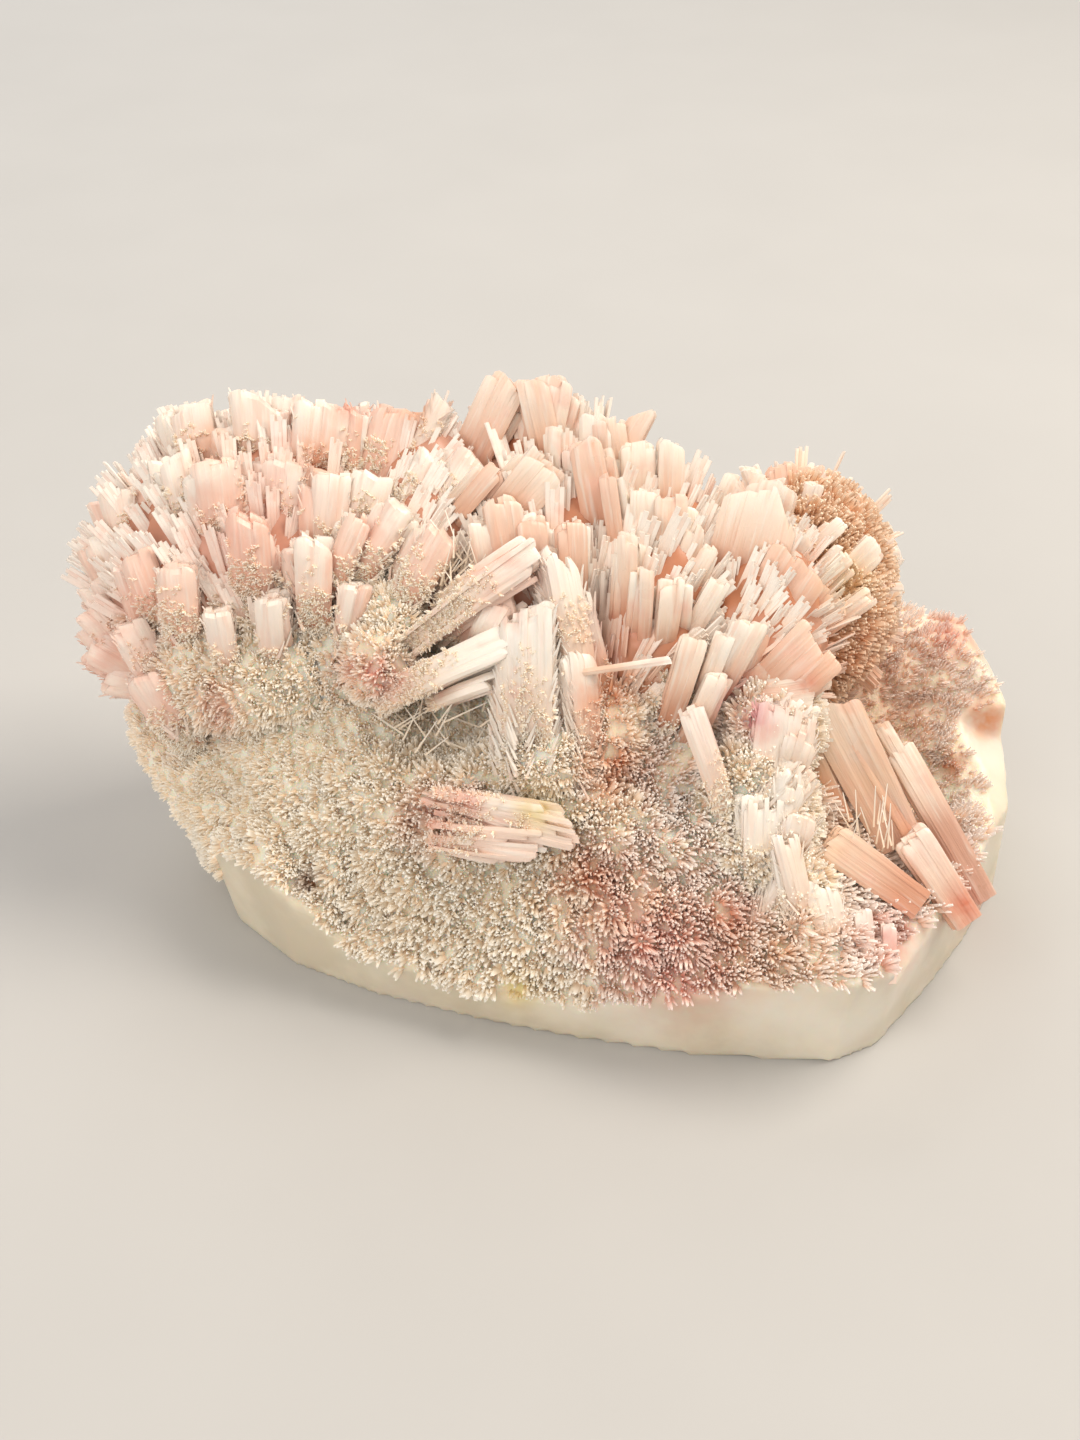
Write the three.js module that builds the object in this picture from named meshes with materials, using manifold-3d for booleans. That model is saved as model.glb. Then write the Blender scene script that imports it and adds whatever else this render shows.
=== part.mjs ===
// Mordenite on stilbite: a hand-sized zeolite specimen. A cream stone, sawn flat underneath and bevelled
// along its right and front edges, carries a field of mordenite tufts. Sprays of tabular stilbite blades
// stand on it: a blocky lobe on the left, a tall crown in the middle, plates and a rosette on the right,
// and single crystals that lie on the field or cross the hollow at the right.
// Millimetres, +Z up, the display side faces -Y, the origin is the middle of the face it rests on.
import * as THREE from 'three';
import { mergeVertices } from 'three/addons/utils/BufferGeometryUtils.js';
import { ImprovedNoise } from 'three/addons/math/ImprovedNoise.js';
import Module from 'manifold-3d';

const wasm = await Module();
wasm.setup();

// The crystals are laid out on the display face: millimetres across, up and out of a plane through EYE_AIM
// that leans back by DISPLAY_TILT, as seen from EYE_DISTANCE in front of it.
const DISPLAY_TILT = THREE.MathUtils.degToRad(38);
const EYE_DISTANCE = 280;
const EYE_AIM = new THREE.Vector3(0, 0, 30);
const ACROSS = new THREE.Vector3(1, 0, 0);
const UP = new THREE.Vector3(0, Math.sin(DISPLAY_TILT), Math.cos(DISPLAY_TILT));
const OUT = new THREE.Vector3(0, -Math.cos(DISPLAY_TILT), Math.sin(DISPLAY_TILT));

// Neighbouring pieces are grown against each other with this much air between them.
const GAP = 0.35;

// Colours of the dry specimen in daylight.
const CREAM_STONE = 0xe6dccb;
const PINK_STILBITE = 0xe9c9b8;
const PALE_STILBITE = 0xeeddd0;
const PEACH_STILBITE = 0xe0b08c;
const WHITE_STILBITE = 0xf1ece8;

// Plan of the stone's edge, [x, y, undercut]: the foot is drawn in by the undercut.
const STONE_EDGE = [
  [-8, -32, 3], [4, -35, 3], [22, -38, 3], [41, -38.5, 2.5], [47.5, -34.5, 2], [55.5, -22.5, 0.8],
  [61.2, -13.5, 0.4], [67, -3, 0.2], [68, 8, 2], [66.6, 17, 4], [60, 30, 6], [46, 37, 6], [28, 39, 6],
  [8, 39, 6], [-14, 38, 7], [-34, 35, 9], [-50, 29, 12], [-59, 20, 14], [-60.5, 11, 12], [-55, 0, 8],
  [-47, -10, 3.5], [-37, -19, 2.5], [-25, -26, 3],
];
const BELLY_HEIGHT = 10;
const EDGE_HEIGHT = 19;
const BELLY_SHARE = 0.45;
const BLOCK_HEIGHT = 70;
const STONE_MIDDLE = [2, 0];

// Heights of the tufted field over the plan, [x, y, z], smoothed over RELIEF_REACH.
const RELIEF_REACH = 4.2;
const RELIEF = [
  [-8, -32, 3], [4, -35, 4], [14, -37, 10], [26, -38, 14], [41, -38, 15], [48, -33, 14], [56, -22, 16],
  [61, -13, 18], [66, -3, 20], [68, 8, 24], [66, 15, 32], [61, 24, 31], [54, 31, 27], [44, 35, 25],
  [28, 37, 26], [8, 37, 27], [-14, 37, 27], [-34, 34, 27], [-48, 28, 27], [-58, 19, 27], [-60, 10, 24],
  [-55, 0, 19], [-47, -10, 15], [-38, -17, 16], [-31, -21, 14], [-25, -25, 4], [-16, -29, 3],
  [-18, -20, 19], [-6, -24, 18], [6, -26, 19], [18, -28, 20], [30, -29, 20], [41, -27, 19],
  [-34, -10, 27], [-24, -11, 30], [-12, -13, 31], [0, -14, 30], [12, -16, 28], [24, -17, 27], [34, -18, 27],
  [-44, 0, 31], [-34, 0, 38], [-24, -2, 37], [-13, -5, 27], [-3, -5, 34], [8, -6, 35], [20, -6, 34],
  [31, -7, 32], [37, -8, 33], [-46, 14, 36], [-34, 12, 42], [-20, 8, 42], [-8, 6, 41], [5, 6, 42],
  [18, 5, 41], [28, 4, 40], [36, 2, 36], [-20, 22, 38], [5, 20, 40], [26, 18, 38], [38, 16, 34],
  [48, 18, 25], [53, 23, 29], [43, -14, 18], [45, -5, 15], [45, 4, 16], [53, -12, 14], [54, 0, 13],
  [52, 10, 17], [60, 10, 23], [57, 20, 28], [59, -4, 17], [-40, 24, 32], [0, 30, 32], [-20, 31, 31],
  [20, 30, 31],
];
const FIELD_CELL = 3.4;
const TUFT_HEIGHT = 1.7;
const TUFT_LEAN = 0.4;
const LEDGE_HEIGHT = 2;
const LEDGE_SIZE = 9;

// Sawn bevels, each a plane through a point with an outward direction, over a stretch of the plan.
const BEVELS = [
  { through: [62, -3, 20], facing: [0.5, -0.2, 0.85], from: [54, -40], to: [75, 9] },
  { through: [62, 16, 31.5], facing: [0.7, 0, 0.71], from: [56, 9], to: [75, 24] },
  { through: [51, -29, 14], facing: [0.4, -0.5, 0.77], from: [46.5, -42], to: [62, -19] },
];

// A point on the display face, in the part's own frame.
function seen(across, up, out) {
  const nearer = 1 - out / EYE_DISTANCE;
  return EYE_AIM.clone()
    .addScaledVector(ACROSS, across * nearer)
    .addScaledVector(UP, up * nearer)
    .addScaledVector(OUT, out);
}

// A direction on the display face: lean turns it from across to up, toward tips it at the viewer.
function pointing(lean, toward) {
  const [a, t] = [THREE.MathUtils.degToRad(lean), THREE.MathUtils.degToRad(toward)];
  return new THREE.Vector3()
    .addScaledVector(ACROSS, Math.cos(a) * Math.cos(t))
    .addScaledVector(UP, Math.sin(a) * Math.cos(t))
    .addScaledVector(OUT, Math.sin(t));
}

// A repeatable number from 0 to 1 for one thing and one use.
function chance(thing, use) {
  const wave = Math.sin(thing * 12.9898 + use * 78.233) * 43758.5453;
  return wave - Math.floor(wave);
}

function solidOf(geometry) {
  const bare = geometry.index ? geometry.toNonIndexed() : geometry.clone();
  const onlyPlaces = new THREE.BufferGeometry().setAttribute('position', bare.getAttribute('position'));
  const merged = mergeVertices(onlyPlaces, 1e-4);
  return new wasm.Manifold(new wasm.Mesh({
    numProp: 3,
    vertProperties: merged.attributes.position.array,
    triVerts: new Uint32Array(merged.index.array),
  }));
}

// The largest body of a cut solid: slivers that a neighbour cuts off are dropped.
function wholeOf(solid) {
  return solid.decompose().sort((a, b) => b.volume() - a.volume())[0];
}

function meshOf(name, solid, colour, roughness) {
  const { vertProperties, triVerts, numProp } = wholeOf(solid).getMesh();
  const places = new Float32Array((vertProperties.length / numProp) * 3);
  for (let i = 0; i < places.length / 3; i++) {
    places.set(vertProperties.subarray(i * numProp, i * numProp + 3), i * 3);
  }
  const geometry = new THREE.BufferGeometry()
    .setAttribute('position', new THREE.BufferAttribute(places, 3))
    .setIndex(new THREE.BufferAttribute(triVerts, 1));
  geometry.computeVertexNormals();
  const mesh = new THREE.Mesh(geometry, new THREE.MeshStandardMaterial({ color: colour, roughness }));
  mesh.name = name;
  return mesh;
}

function closedFrom(places, faces) {
  return new wasm.Manifold(new wasm.Mesh({
    numProp: 3,
    vertProperties: new Float32Array(places.flat()),
    triVerts: new Uint32Array(faces.flat()),
  }));
}

// The stone's sides: foot, belly and edge outlines, then straight up past the field.
function stoneBlock(extra) {
  const outline = STONE_EDGE.map(([x, y, undercut]) => {
    const [dx, dy] = [x - STONE_MIDDLE[0], y - STONE_MIDDLE[1]];
    const far = Math.hypot(dx, dy);
    return { x, y, undercut, away: [dx / far, dy / far] };
  });
  const ring = (share, z) => outline.map(({ x, y, undercut, away }) => {
    const shift = extra - undercut * share;
    return [x + away[0] * shift, y + away[1] * shift, z];
  });
  const rings = [ring(1, -extra), ring(BELLY_SHARE, BELLY_HEIGHT), ring(0, EDGE_HEIGHT), ring(0, BLOCK_HEIGHT)];
  const count = outline.length;
  const faces = [];
  for (let level = 0; level + 1 < rings.length; level++) {
    for (let i = 0; i < count; i++) {
      const [a, b] = [level * count + i, level * count + ((i + 1) % count)];
      faces.push([a, b, b + count], [a, b + count, a + count]);
    }
  }
  const cap = (points) => THREE.ShapeUtils.triangulateShape(points.map(([x, y]) => new THREE.Vector2(x, y)), []);
  const top = (rings.length - 1) * count;
  for (const [a, b, c] of cap(rings[0])) faces.push([a, c, b]);
  for (const [a, b, c] of cap(rings.at(-1))) faces.push([top + a, top + b, top + c]);
  return closedFrom(rings.flat(), faces);
}

function reliefAt(x, y) {
  let [sum, weights] = [0, 0];
  for (const [px, py, pz] of RELIEF) {
    const weight = Math.exp(-((x - px) ** 2 + (y - py) ** 2) / (2 * RELIEF_REACH ** 2)) + 1e-9;
    sum += weight * pz;
    weights += weight;
  }
  return sum / weights;
}

// The tufted field: every second corner of a shaken grid stands up as a tuft, over slow ledges.
function tuftedField(raise) {
  const noise = new ImprovedNoise();
  const [x0, x1, y0, y1] = [-66, 75, -45, 45];
  const [columns, rows] = [Math.round((x1 - x0) / FIELD_CELL), Math.round((y1 - y0) / FIELD_CELL)];
  const places = [];
  for (let j = 0; j <= rows; j++) {
    for (let i = 0; i <= columns; i++) {
      const id = j * (columns + 1) + i;
      const inside = i > 0 && j > 0 && i < columns && j < rows;
      const shake = inside ? 0.25 * FIELD_CELL : 0;
      const x = x0 + (i / columns) * (x1 - x0) + shake * (2 * chance(id, 1) - 1);
      const y = y0 + (j / rows) * (y1 - y0) + shake * (2 * chance(id, 2) - 1);
      const slopeX = (reliefAt(x + 1, y) - reliefAt(x - 1, y)) / 2;
      const slopeY = (reliefAt(x, y + 1) - reliefAt(x, y - 1)) / 2;
      const steep = Math.hypot(slopeX, slopeY, 1);
      const tuft = (i + j) % 2 ? TUFT_HEIGHT * (0.4 + chance(id, 3)) : -TUFT_HEIGHT * 0.4 * chance(id, 4);
      const ledge = LEDGE_HEIGHT * noise.noise(x / LEDGE_SIZE, y / LEDGE_SIZE, 0.5);
      const lift = inside ? tuft : 0;
      const z = reliefAt(x, y) + ledge + lift / steep + raise;
      places.push([x - (TUFT_LEAN * lift * slopeX) / steep, y - (TUFT_LEAN * lift * slopeY) / steep, z]);
    }
  }
  const top = places.length;
  const under = -20;
  for (let k = 0; k < top; k++) places.push([places[k][0], places[k][1], under]);
  const faces = [];
  const cornerAt = (i, j) => j * (columns + 1) + i;
  for (let j = 0; j < rows; j++) {
    for (let i = 0; i < columns; i++) {
      const [a, b, c, d] = [cornerAt(i, j), cornerAt(i + 1, j), cornerAt(i + 1, j + 1), cornerAt(i, j + 1)];
      const halves = (i + j) % 2 ? [[a, b, d], [b, c, d]] : [[a, b, c], [a, c, d]];
      for (const [p, q, r] of halves) faces.push([p, q, r], [top + p, top + r, top + q]);
    }
  }
  const wall = (a, b) => faces.push([a, top + a, b], [b, top + a, top + b]);
  for (let i = 0; i < columns; i++) {
    wall(cornerAt(i, 0), cornerAt(i + 1, 0));
    wall(cornerAt(i + 1, rows), cornerAt(i, rows));
  }
  for (let j = 0; j < rows; j++) {
    wall(cornerAt(columns, j), cornerAt(columns, j + 1));
    wall(cornerAt(0, j + 1), cornerAt(0, j));
  }
  return closedFrom(places, faces);
}

// What a saw takes off: a slab above the bevel's plane, over its stretch of the plan.
function sawnAway({ through, facing, from, to }, raise) {
  const [nx, ny, nz] = facing;
  const heightAt = (x, y) => through[2] + raise - (nx * (x - through[0]) + ny * (y - through[1])) / nz;
  const corners = [[from[0], from[1]], [to[0], from[1]], [to[0], to[1]], [from[0], to[1]]];
  const places = [...corners.map(([x, y]) => [x, y, heightAt(x, y)]), ...corners.map(([x, y]) => [x, y, 90])];
  const faces = [
    [0, 2, 1], [0, 3, 2], [4, 5, 6], [4, 6, 7],
    [0, 1, 5], [0, 5, 4], [1, 2, 6], [1, 6, 5], [2, 3, 7], [2, 7, 6], [3, 0, 4], [3, 4, 7],
  ];
  return closedFrom(places, faces);
}

function stone(extra) {
  const raise = extra * 1.3;
  let made = stoneBlock(extra).intersect(tuftedField(raise));
  for (const bevel of BEVELS) made = made.subtract(sawnAway(bevel, raise));
  return made;
}

// One tabular crystal, given by its tip. Its outline is a long blade whose two corners stand lower than the
// tip by their drops, with a peak between them where one is given.
function crystal(tip, { lean = 90, toward = 15, long = 14, wide = 5, thick = 3, turn, drop = [1, 1], peak }) {
  const ownTurn = turn ?? 14 * (2 * chance(tip[0] * 3.7 + tip[1], 13) - 1);
  return { tip, lean, toward, long, wide, thick, turn: ownTurn, drop, peak };
}

function crystalSolid({ tip, lean, toward, long, wide, thick, turn, drop, peak }, extra) {
  const along = pointing(lean, toward);
  const side = new THREE.Vector3().crossVectors(along, OUT).normalize();
  side.applyAxisAngle(along, THREE.MathUtils.degToRad(turn));
  const face = new THREE.Vector3().crossVectors(side, along);
  const [half, foot] = [wide / 2 + extra, wide * 0.4 + extra];
  const summit = peak === undefined ? [] : [new THREE.Vector2((peak - 0.5) * wide, extra)];
  const outline = new THREE.Shape([
    new THREE.Vector2(-foot, -long - extra),
    new THREE.Vector2(foot, -long - extra),
    new THREE.Vector2(half, extra - drop[1]),
    ...summit,
    new THREE.Vector2(-half, extra - drop[0]),
  ]);
  const deep = thick + 2 * extra;
  const geometry = new THREE.ExtrudeGeometry(outline, { depth: deep, bevelEnabled: false });
  geometry.translate(0, 0, -deep / 2);
  geometry.applyMatrix4(new THREE.Matrix4().makeBasis(side, along, face).setPosition(seen(...tip)));
  return solidOf(geometry);
}

// The lumpy mass that a spray of crystals grows from, laid out on the display face too.
function rootMass({ at, radii, lump = 1.6 }, extra) {
  const ball = new THREE.IcosahedronGeometry(1, 2).deleteAttribute('normal').deleteAttribute('uv');
  const geometry = mergeVertices(ball, 1e-4);
  const place = geometry.attributes.position;
  for (let i = 0; i < place.count; i++) {
    const swell = lump * (2 * chance(i, 5) - 1) * 0.5 + extra;
    place.setXYZ(
      i,
      place.getX(i) * (radii[0] + swell),
      place.getY(i) * (radii[1] + swell),
      place.getZ(i) * (radii[2] + swell),
    );
  }
  geometry.applyMatrix4(new THREE.Matrix4().makeBasis(ACROSS, UP, OUT).setPosition(seen(...at)));
  return solidOf(geometry);
}

function spraySolid({ roots = [], crystals }, extra) {
  const masses = roots.map((root) => rootMass(root, extra));
  return wasm.Manifold.union([...masses, ...crystals.map((one) => crystalSolid(one, extra))]);
}

// Like crystals whose tips stand on an arc of the display face, from one angle to another.
function fan(count, { middle, radii, angles, out, ...shape }, seed) {
  return Array.from({ length: count }, (_, i) => {
    const share = i / (count - 1);
    const stray = (use, size) => size * (2 * chance(seed + i, use) - 1);
    const angle = angles[0] + (angles[1] - angles[0]) * share + stray(9, 3);
    const round = THREE.MathUtils.degToRad(angle);
    const tip = [
      middle[0] + (radii[0] + stray(6, 0.8)) * Math.cos(round),
      middle[1] + (radii[1] + stray(7, 0.8)) * Math.sin(round),
      out + stray(8, 1),
    ];
    return crystal(tip, {
      ...shape,
      lean: angle,
      toward: shape.toward + stray(10, 5),
      wide: shape.wide * (0.8 + 0.4 * chance(seed + i, 14)),
      drop: [0.4 + 2 * chance(seed + i, 11), 0.4 + 2 * chance(seed + i, 12)],
    });
  });
}

const BLOCKY = { thick: 4, toward: 12, long: 13 };

const leftLobe = {
  roots: [
    { at: [-38.5, 20, -5], radii: [23, 20.5, 13], lump: 4 },
    { at: [-15, 26, 0], radii: [8, 15, 9] },
  ],
  crystals: [
    crystal([-49.4, 45.6, 3], { ...BLOCKY, lean: 100, wide: 5.6, drop: [1.6, 0.6] }),
    crystal([-39.8, 47.2, 4], { ...BLOCKY, lean: 93, wide: 7.4, drop: [0.4, 4], peak: 0.2 }),
    crystal([-30.6, 45.6, 4], { ...BLOCKY, lean: 82, wide: 7.4, drop: [0.3, 1.4], peak: 0.1 }),
    crystal([-25.8, 45.4, 3], { ...BLOCKY, lean: 84, wide: 2.4, drop: [0.4, 2] }),
    crystal([-23.4, 44, 3], { lean: 76, long: 14, wide: 1.4, thick: 1.4 }),
    crystal([-18.8, 44, 3], { ...BLOCKY, lean: 74, long: 20, wide: 8.2, drop: [0.2, 0.2] }),
    crystal([-12.8, 46, 6], { lean: 62, toward: 14, long: 24, wide: 3.2, thick: 2.2, drop: [0.4, 1.6] }),
    crystal([-44.2, 43.4, 3], { ...BLOCKY, lean: 96, wide: 5, drop: [2, 1] }),
    crystal([-54, 36.8, 3], { ...BLOCKY, lean: 108, wide: 5, drop: [3, 0.6], peak: 0.8 }),
    crystal([-59.4, 33.2, 2], { ...BLOCKY, lean: 104, wide: 5, drop: [0.6, 0.4] }),
    crystal([-62.6, 27, 2], { lean: 116, wide: 4.4, thick: 3.4, drop: [1.4, 0.4] }),
    crystal([-62.6, 22, 1], { lean: 124, wide: 4, thick: 3.4, drop: [1.4, 0.8] }),
    crystal([-64.2, 17, 2], { lean: 134, wide: 5, thick: 4, drop: [1, 1] }),
    crystal([-64.4, 11.4, 2], { lean: 150, wide: 5.4, thick: 4, drop: [1, 2] }),
    crystal([-62.4, 6.4, 1], { lean: 168, wide: 4.6, thick: 4, drop: [1, 2] }),
    crystal([-51.6, 38.5, 7], { ...BLOCKY, lean: 103, wide: 4.2, drop: [2, 0.6] }),
    crystal([-46, 37.6, 10], { ...BLOCKY, lean: 96, toward: 16, wide: 6.2, drop: [0.8, 0.8] }),
    crystal([-35.4, 38, 8], { ...BLOCKY, lean: 90, wide: 5.6, drop: [1, 1.6] }),
    crystal([-28.8, 36, 9], { ...BLOCKY, lean: 84, wide: 5, drop: [1.4, 0.8] }),
    crystal([-22.6, 36, 8], { ...BLOCKY, lean: 76, wide: 5.6, drop: [1, 1] }),
    crystal([-41.2, 30, 13], { ...BLOCKY, lean: 93, toward: 18, wide: 5.4, drop: [0.4, 1.6], peak: 0.2 }),
    crystal([-32, 26.2, 14], { ...BLOCKY, lean: 88, toward: 20, wide: 5, drop: [0.6, 1.6], peak: 0.3 }),
    crystal([-24.6, 29.5, 12], { ...BLOCKY, lean: 66, wide: 3.4, drop: [0.4, 0.8] }),
    crystal([-50.8, 23.2, 12], { ...BLOCKY, lean: 92, toward: 18, wide: 4.6, drop: [0.6, 1.4] }),
    crystal([-57.2, 25, 8], { ...BLOCKY, lean: 108, wide: 4.4, drop: [1.6, 0.8] }),
    crystal([-58.6, 15, 8], { ...BLOCKY, lean: 116, toward: 18, wide: 5, drop: [1.4, 1] }),
    crystal([-56.6, 8, 8], { ...BLOCKY, lean: 120, toward: 20, long: 11, wide: 4.6, drop: [1, 1.2] }),
    crystal([-45.6, 17, 13], { ...BLOCKY, lean: 98, toward: 24, long: 10, wide: 3.6, drop: [1.2, 1.2] }),
    crystal([-38, 18.6, 14], { ...BLOCKY, lean: 90, toward: 26, long: 10, wide: 3.4, drop: [1, 1.4] }),
    crystal([-26, 21, 13], { ...BLOCKY, lean: 80, toward: 22, long: 10, wide: 3.4, drop: [1.4, 1] }),
    crystal([-8.4, 37.6, 9], { lean: 58, toward: 12, long: 20, wide: 5, thick: 3, drop: [0.4, 1.4] }),
    crystal([-14.4, 38, 8], { lean: 62, toward: 12, long: 18, wide: 4.4, thick: 3, drop: [0.6, 1] }),
    crystal([-12.8, 27.4, 14], { lean: 58, toward: 12, long: 14, wide: 5, thick: 3, drop: [0.4, 1.4] }),
    crystal([-18.6, 31, 12], { lean: 60, toward: 12, wide: 3.8, thick: 3, drop: [0.6, 1.2] }),
    ...fan(7, {
      middle: [-38, 20], radii: [24, 24.5], angles: [160, 50], out: -8,
      toward: -25, long: 9, wide: 5.6, thick: 4,
    }, 100),
    ...fan(5, {
      middle: [-38, 16], radii: [20, 18], angles: [170, 30], out: -18,
      toward: -55, long: 9, wide: 6, thick: 4,
    }, 120),
  ],
};

const crown = {
  roots: [
    { at: [1, 21, 0], radii: [15, 20, 11.5] },
    { at: [16, 16, 2], radii: [11, 17, 11] },
  ],
  crystals: [
    crystal([-3.6, 48.6, 8], { lean: 63, long: 20, wide: 6, drop: [0.4, 1.4], peak: 0.3 }),
    crystal([-1.6, 48.4, 9], { lean: 103, long: 18, wide: 4.6, drop: [0.2, 1.4] }),
    crystal([1.6, 49.2, 8], { lean: 80, long: 18, wide: 4.6, drop: [1.8, 0.6], peak: 0.7 }),
    crystal([5.4, 46.4, 7], { lean: 74, long: 14, wide: 1.7, thick: 1.7 }),
    crystal([7.6, 43.6, 8], { lean: 92, long: 17, wide: 4.6, drop: [0.3, 1.2], peak: 0.2 }),
    crystal([15.1, 43.9, 7], { lean: 62, long: 17, wide: 3.2, thick: 2, drop: [1.6, 0.2], peak: 0.8 }),
    crystal([13.6, 39.8, 8], { lean: 91, long: 15, wide: 5.2, drop: [0.6, 0.3] }),
    crystal([18.2, 39.6, 8], { lean: 89, long: 16, wide: 4, drop: [0.2, 1.2], peak: 0.2 }),
    crystal([2, 42.2, 11], { lean: 90, long: 14, wide: 2.2, thick: 2 }),
    crystal([9.8, 41, 5], { lean: 86, long: 14, wide: 4.4, drop: [0.8, 1] }),
    crystal([6.2, 39.8, 12], { lean: 100, long: 18, wide: 4.8, drop: [1, 0.3], peak: 0.7 }),
    crystal([9.2, 35.6, 13], { lean: 99, long: 15, wide: 2.6, thick: 2.4 }),
    crystal([2.4, 37.6, 13], { lean: 48, long: 13, wide: 6.4, thick: 2.4, drop: [1, 1.6] }),
    crystal([-5.2, 36.2, 12], { lean: 48, long: 11, wide: 3, thick: 2.4 }),
    crystal([-6, 32, 14], { lean: 99, long: 13, wide: 5.2, drop: [0.2, 0.6] }),
    crystal([-1.4, 30, 14], { lean: 96, long: 11, wide: 4.2, drop: [0.8, 1.4] }),
    crystal([-9.4, 29.4, 13], { lean: 104, long: 11, wide: 2.4, thick: 2.4 }),
    crystal([4.2, 28.6, 14], { lean: 92, long: 12, wide: 4, drop: [1, 0.4] }),
    crystal([12.3, 26.8, 16], { lean: 92, toward: 18, long: 14, wide: 2.8, thick: 2.6, drop: [0.3, 0.6] }),
    crystal([14.8, 22.6, 17], { lean: 89, toward: 18, long: 11, wide: 2.2, thick: 2.4 }),
    crystal([18.4, 32.6, 12], { lean: 88, long: 14, wide: 4.6, drop: [1, 0.6] }),
    crystal([14.6, 33.6, 12], { lean: 90, long: 13, wide: 3.8, drop: [0.8, 1] }),
    crystal([22.2, 28.8, 12], { lean: 73, long: 13, wide: 2.6, thick: 2.4 }),
    crystal([24.6, 25.2, 13], { lean: 62, long: 12, wide: 2.4, thick: 2.2 }),
    crystal([26.2, 21.2, 14], { lean: 60, long: 11, wide: 3, thick: 2.4 }),
    crystal([18.6, 21, 16], { lean: 84, toward: 18, long: 10, wide: 3.4, thick: 2.6, drop: [1.4, 0.6] }),
    crystal([7.6, 17, 15], { lean: 32, toward: 12, long: 9, wide: 2.4, thick: 2.2, drop: [0.3, 0.6] }),
    ...fan(6, {
      middle: [5, 18], radii: [20, 25], angles: [120, 35], out: -5,
      toward: -20, long: 9, wide: 5, thick: 3,
    }, 140),
    ...fan(6, {
      middle: [5, 16], radii: [17, 17], angles: [155, 15], out: -14,
      toward: -55, long: 8, wide: 5, thick: 3,
    }, 160),
  ],
};

const plates = {
  roots: [{ at: [31, 13, 4], radii: [9, 14, 9.5] }],
  crystals: [
    crystal([33.6, 34.4, 8], { lean: 72, long: 16, wide: 7, thick: 2.2, drop: [2, 1.2], peak: 0.6 }),
    crystal([29.2, 31.6, 8], { lean: 82, long: 14, wide: 7, thick: 2.2, drop: [1.6, 0.4] }),
    crystal([36.6, 28.4, 9], { lean: 60, long: 13, wide: 6.4, thick: 2.2, drop: [0.4, 2] }),
    crystal([38.4, 22.6, 10], { lean: 48, long: 12, wide: 6.8, thick: 2.2, drop: [0.4, 2] }),
    crystal([36, 16.6, 11], { lean: 36, long: 10, wide: 5.6, thick: 2.2, drop: [0.6, 1.6] }),
    crystal([27.6, 35.6, 7], { lean: 64, long: 12, wide: 2.3, thick: 1.8 }),
    crystal([40.6, 19.6, 9], { lean: 52, long: 12, wide: 4.2, thick: 2, drop: [0.6, 1.4] }),
    crystal([40.8, 9.6, 14], { lean: 34, toward: 12, long: 12, wide: 8.4, thick: 2.6, drop: [1.2, 2] }),
    crystal([40.2, 4.4, 14], { lean: 8, toward: 10, long: 10, wide: 5.2, thick: 2.6, drop: [0.6, 2] }),
    crystal([30.6, 15, 15.5], { lean: 64, toward: 14, long: 11, wide: 4.6, thick: 2.6, drop: [1.2, 0.6] }),
    crystal([26.6, 13.4, 15.5], { lean: 70, toward: 16, long: 10, wide: 3, thick: 2.4 }),
    crystal([22, 12.8, 15.5], { lean: 74, toward: 16, long: 12, wide: 3.8, thick: 2.8, drop: [0.8, 0.6] }),
    crystal([25.6, 7.6, 16], { lean: 66, toward: 14, long: 9, wide: 3, thick: 2.4 }),
    ...fan(4, {
      middle: [31, 14], radii: [10, 17], angles: [110, 20], out: -4,
      toward: -35, long: 10, wide: 6, thick: 3,
    }, 200),
  ],
};

const rosette = {
  roots: [{ at: [36.5, 18.5, -8], radii: [11.5, 14.5, 8.5] }],
  crystals: [
    ...fan(12, {
      middle: [34.6, 18.6], radii: [16.8, 19], angles: [134, -14], out: -7,
      toward: 0, long: 6.5, wide: 3.6, thick: 3.6,
    }, 220),
    ...fan(5, {
      middle: [34.6, 18.4], radii: [14.6, 16], angles: [100, 0], out: -3,
      toward: 10, long: 6, wide: 3.4, thick: 3,
    }, 240),
    crystal([43.4, 28.6, 1], { lean: 42, toward: 6, long: 12, wide: 2.4, thick: 2.2 }),
    crystal([48, 25.4, 0], { lean: 44, toward: 6, long: 14, wide: 4.4, thick: 2.4, drop: [0.4, 1] }),
    crystal([43.6, 24.2, 2], { lean: 46, toward: 8, long: 10, wide: 4, thick: 3, drop: [0.6, 0.6] }),
    crystal([47.4, 18.4, 2], { lean: 36, toward: 6, long: 12, wide: 3, thick: 2.6 }),
    crystal([43.4, 17.2, 4], { lean: 36, toward: 6, long: 10, wide: 3.2, thick: 2.6 }),
    ...fan(5, {
      middle: [35, 17], radii: [13, 14], angles: [145, 0], out: -15,
      toward: -45, long: 7, wide: 5, thick: 3,
    }, 260),
  ],
};

// Two blades leaning on a broad slab, like a roof over a small pit.
const roof = {
  crystals: [
    crystal([1.2, 24.6, 17], {
      lean: 91, toward: 10, long: 36, wide: 11.4, thick: 5.5, drop: [12, 19], peak: 0.52, turn: 0,
    }),
    crystal([1, 24.4, 17.5], { lean: 35, toward: 4, long: 26, wide: 4.4, thick: 4, drop: [0.4, 1.6] }),
    crystal([-3.6, 11.6, 17], { lean: 24, toward: 6, long: 22, wide: 4.6, thick: 3.4, drop: [0.2, 0.4] }),
    crystal([-4.4, 6.4, 15.5], { lean: 20, toward: 6, long: 13, wide: 2.6, thick: 2.6 }),
    crystal([-5, 17.6, 16], { lean: 62, toward: 8, long: 10, wide: 4.2, thick: 2.6 }),
  ],
};

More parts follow.
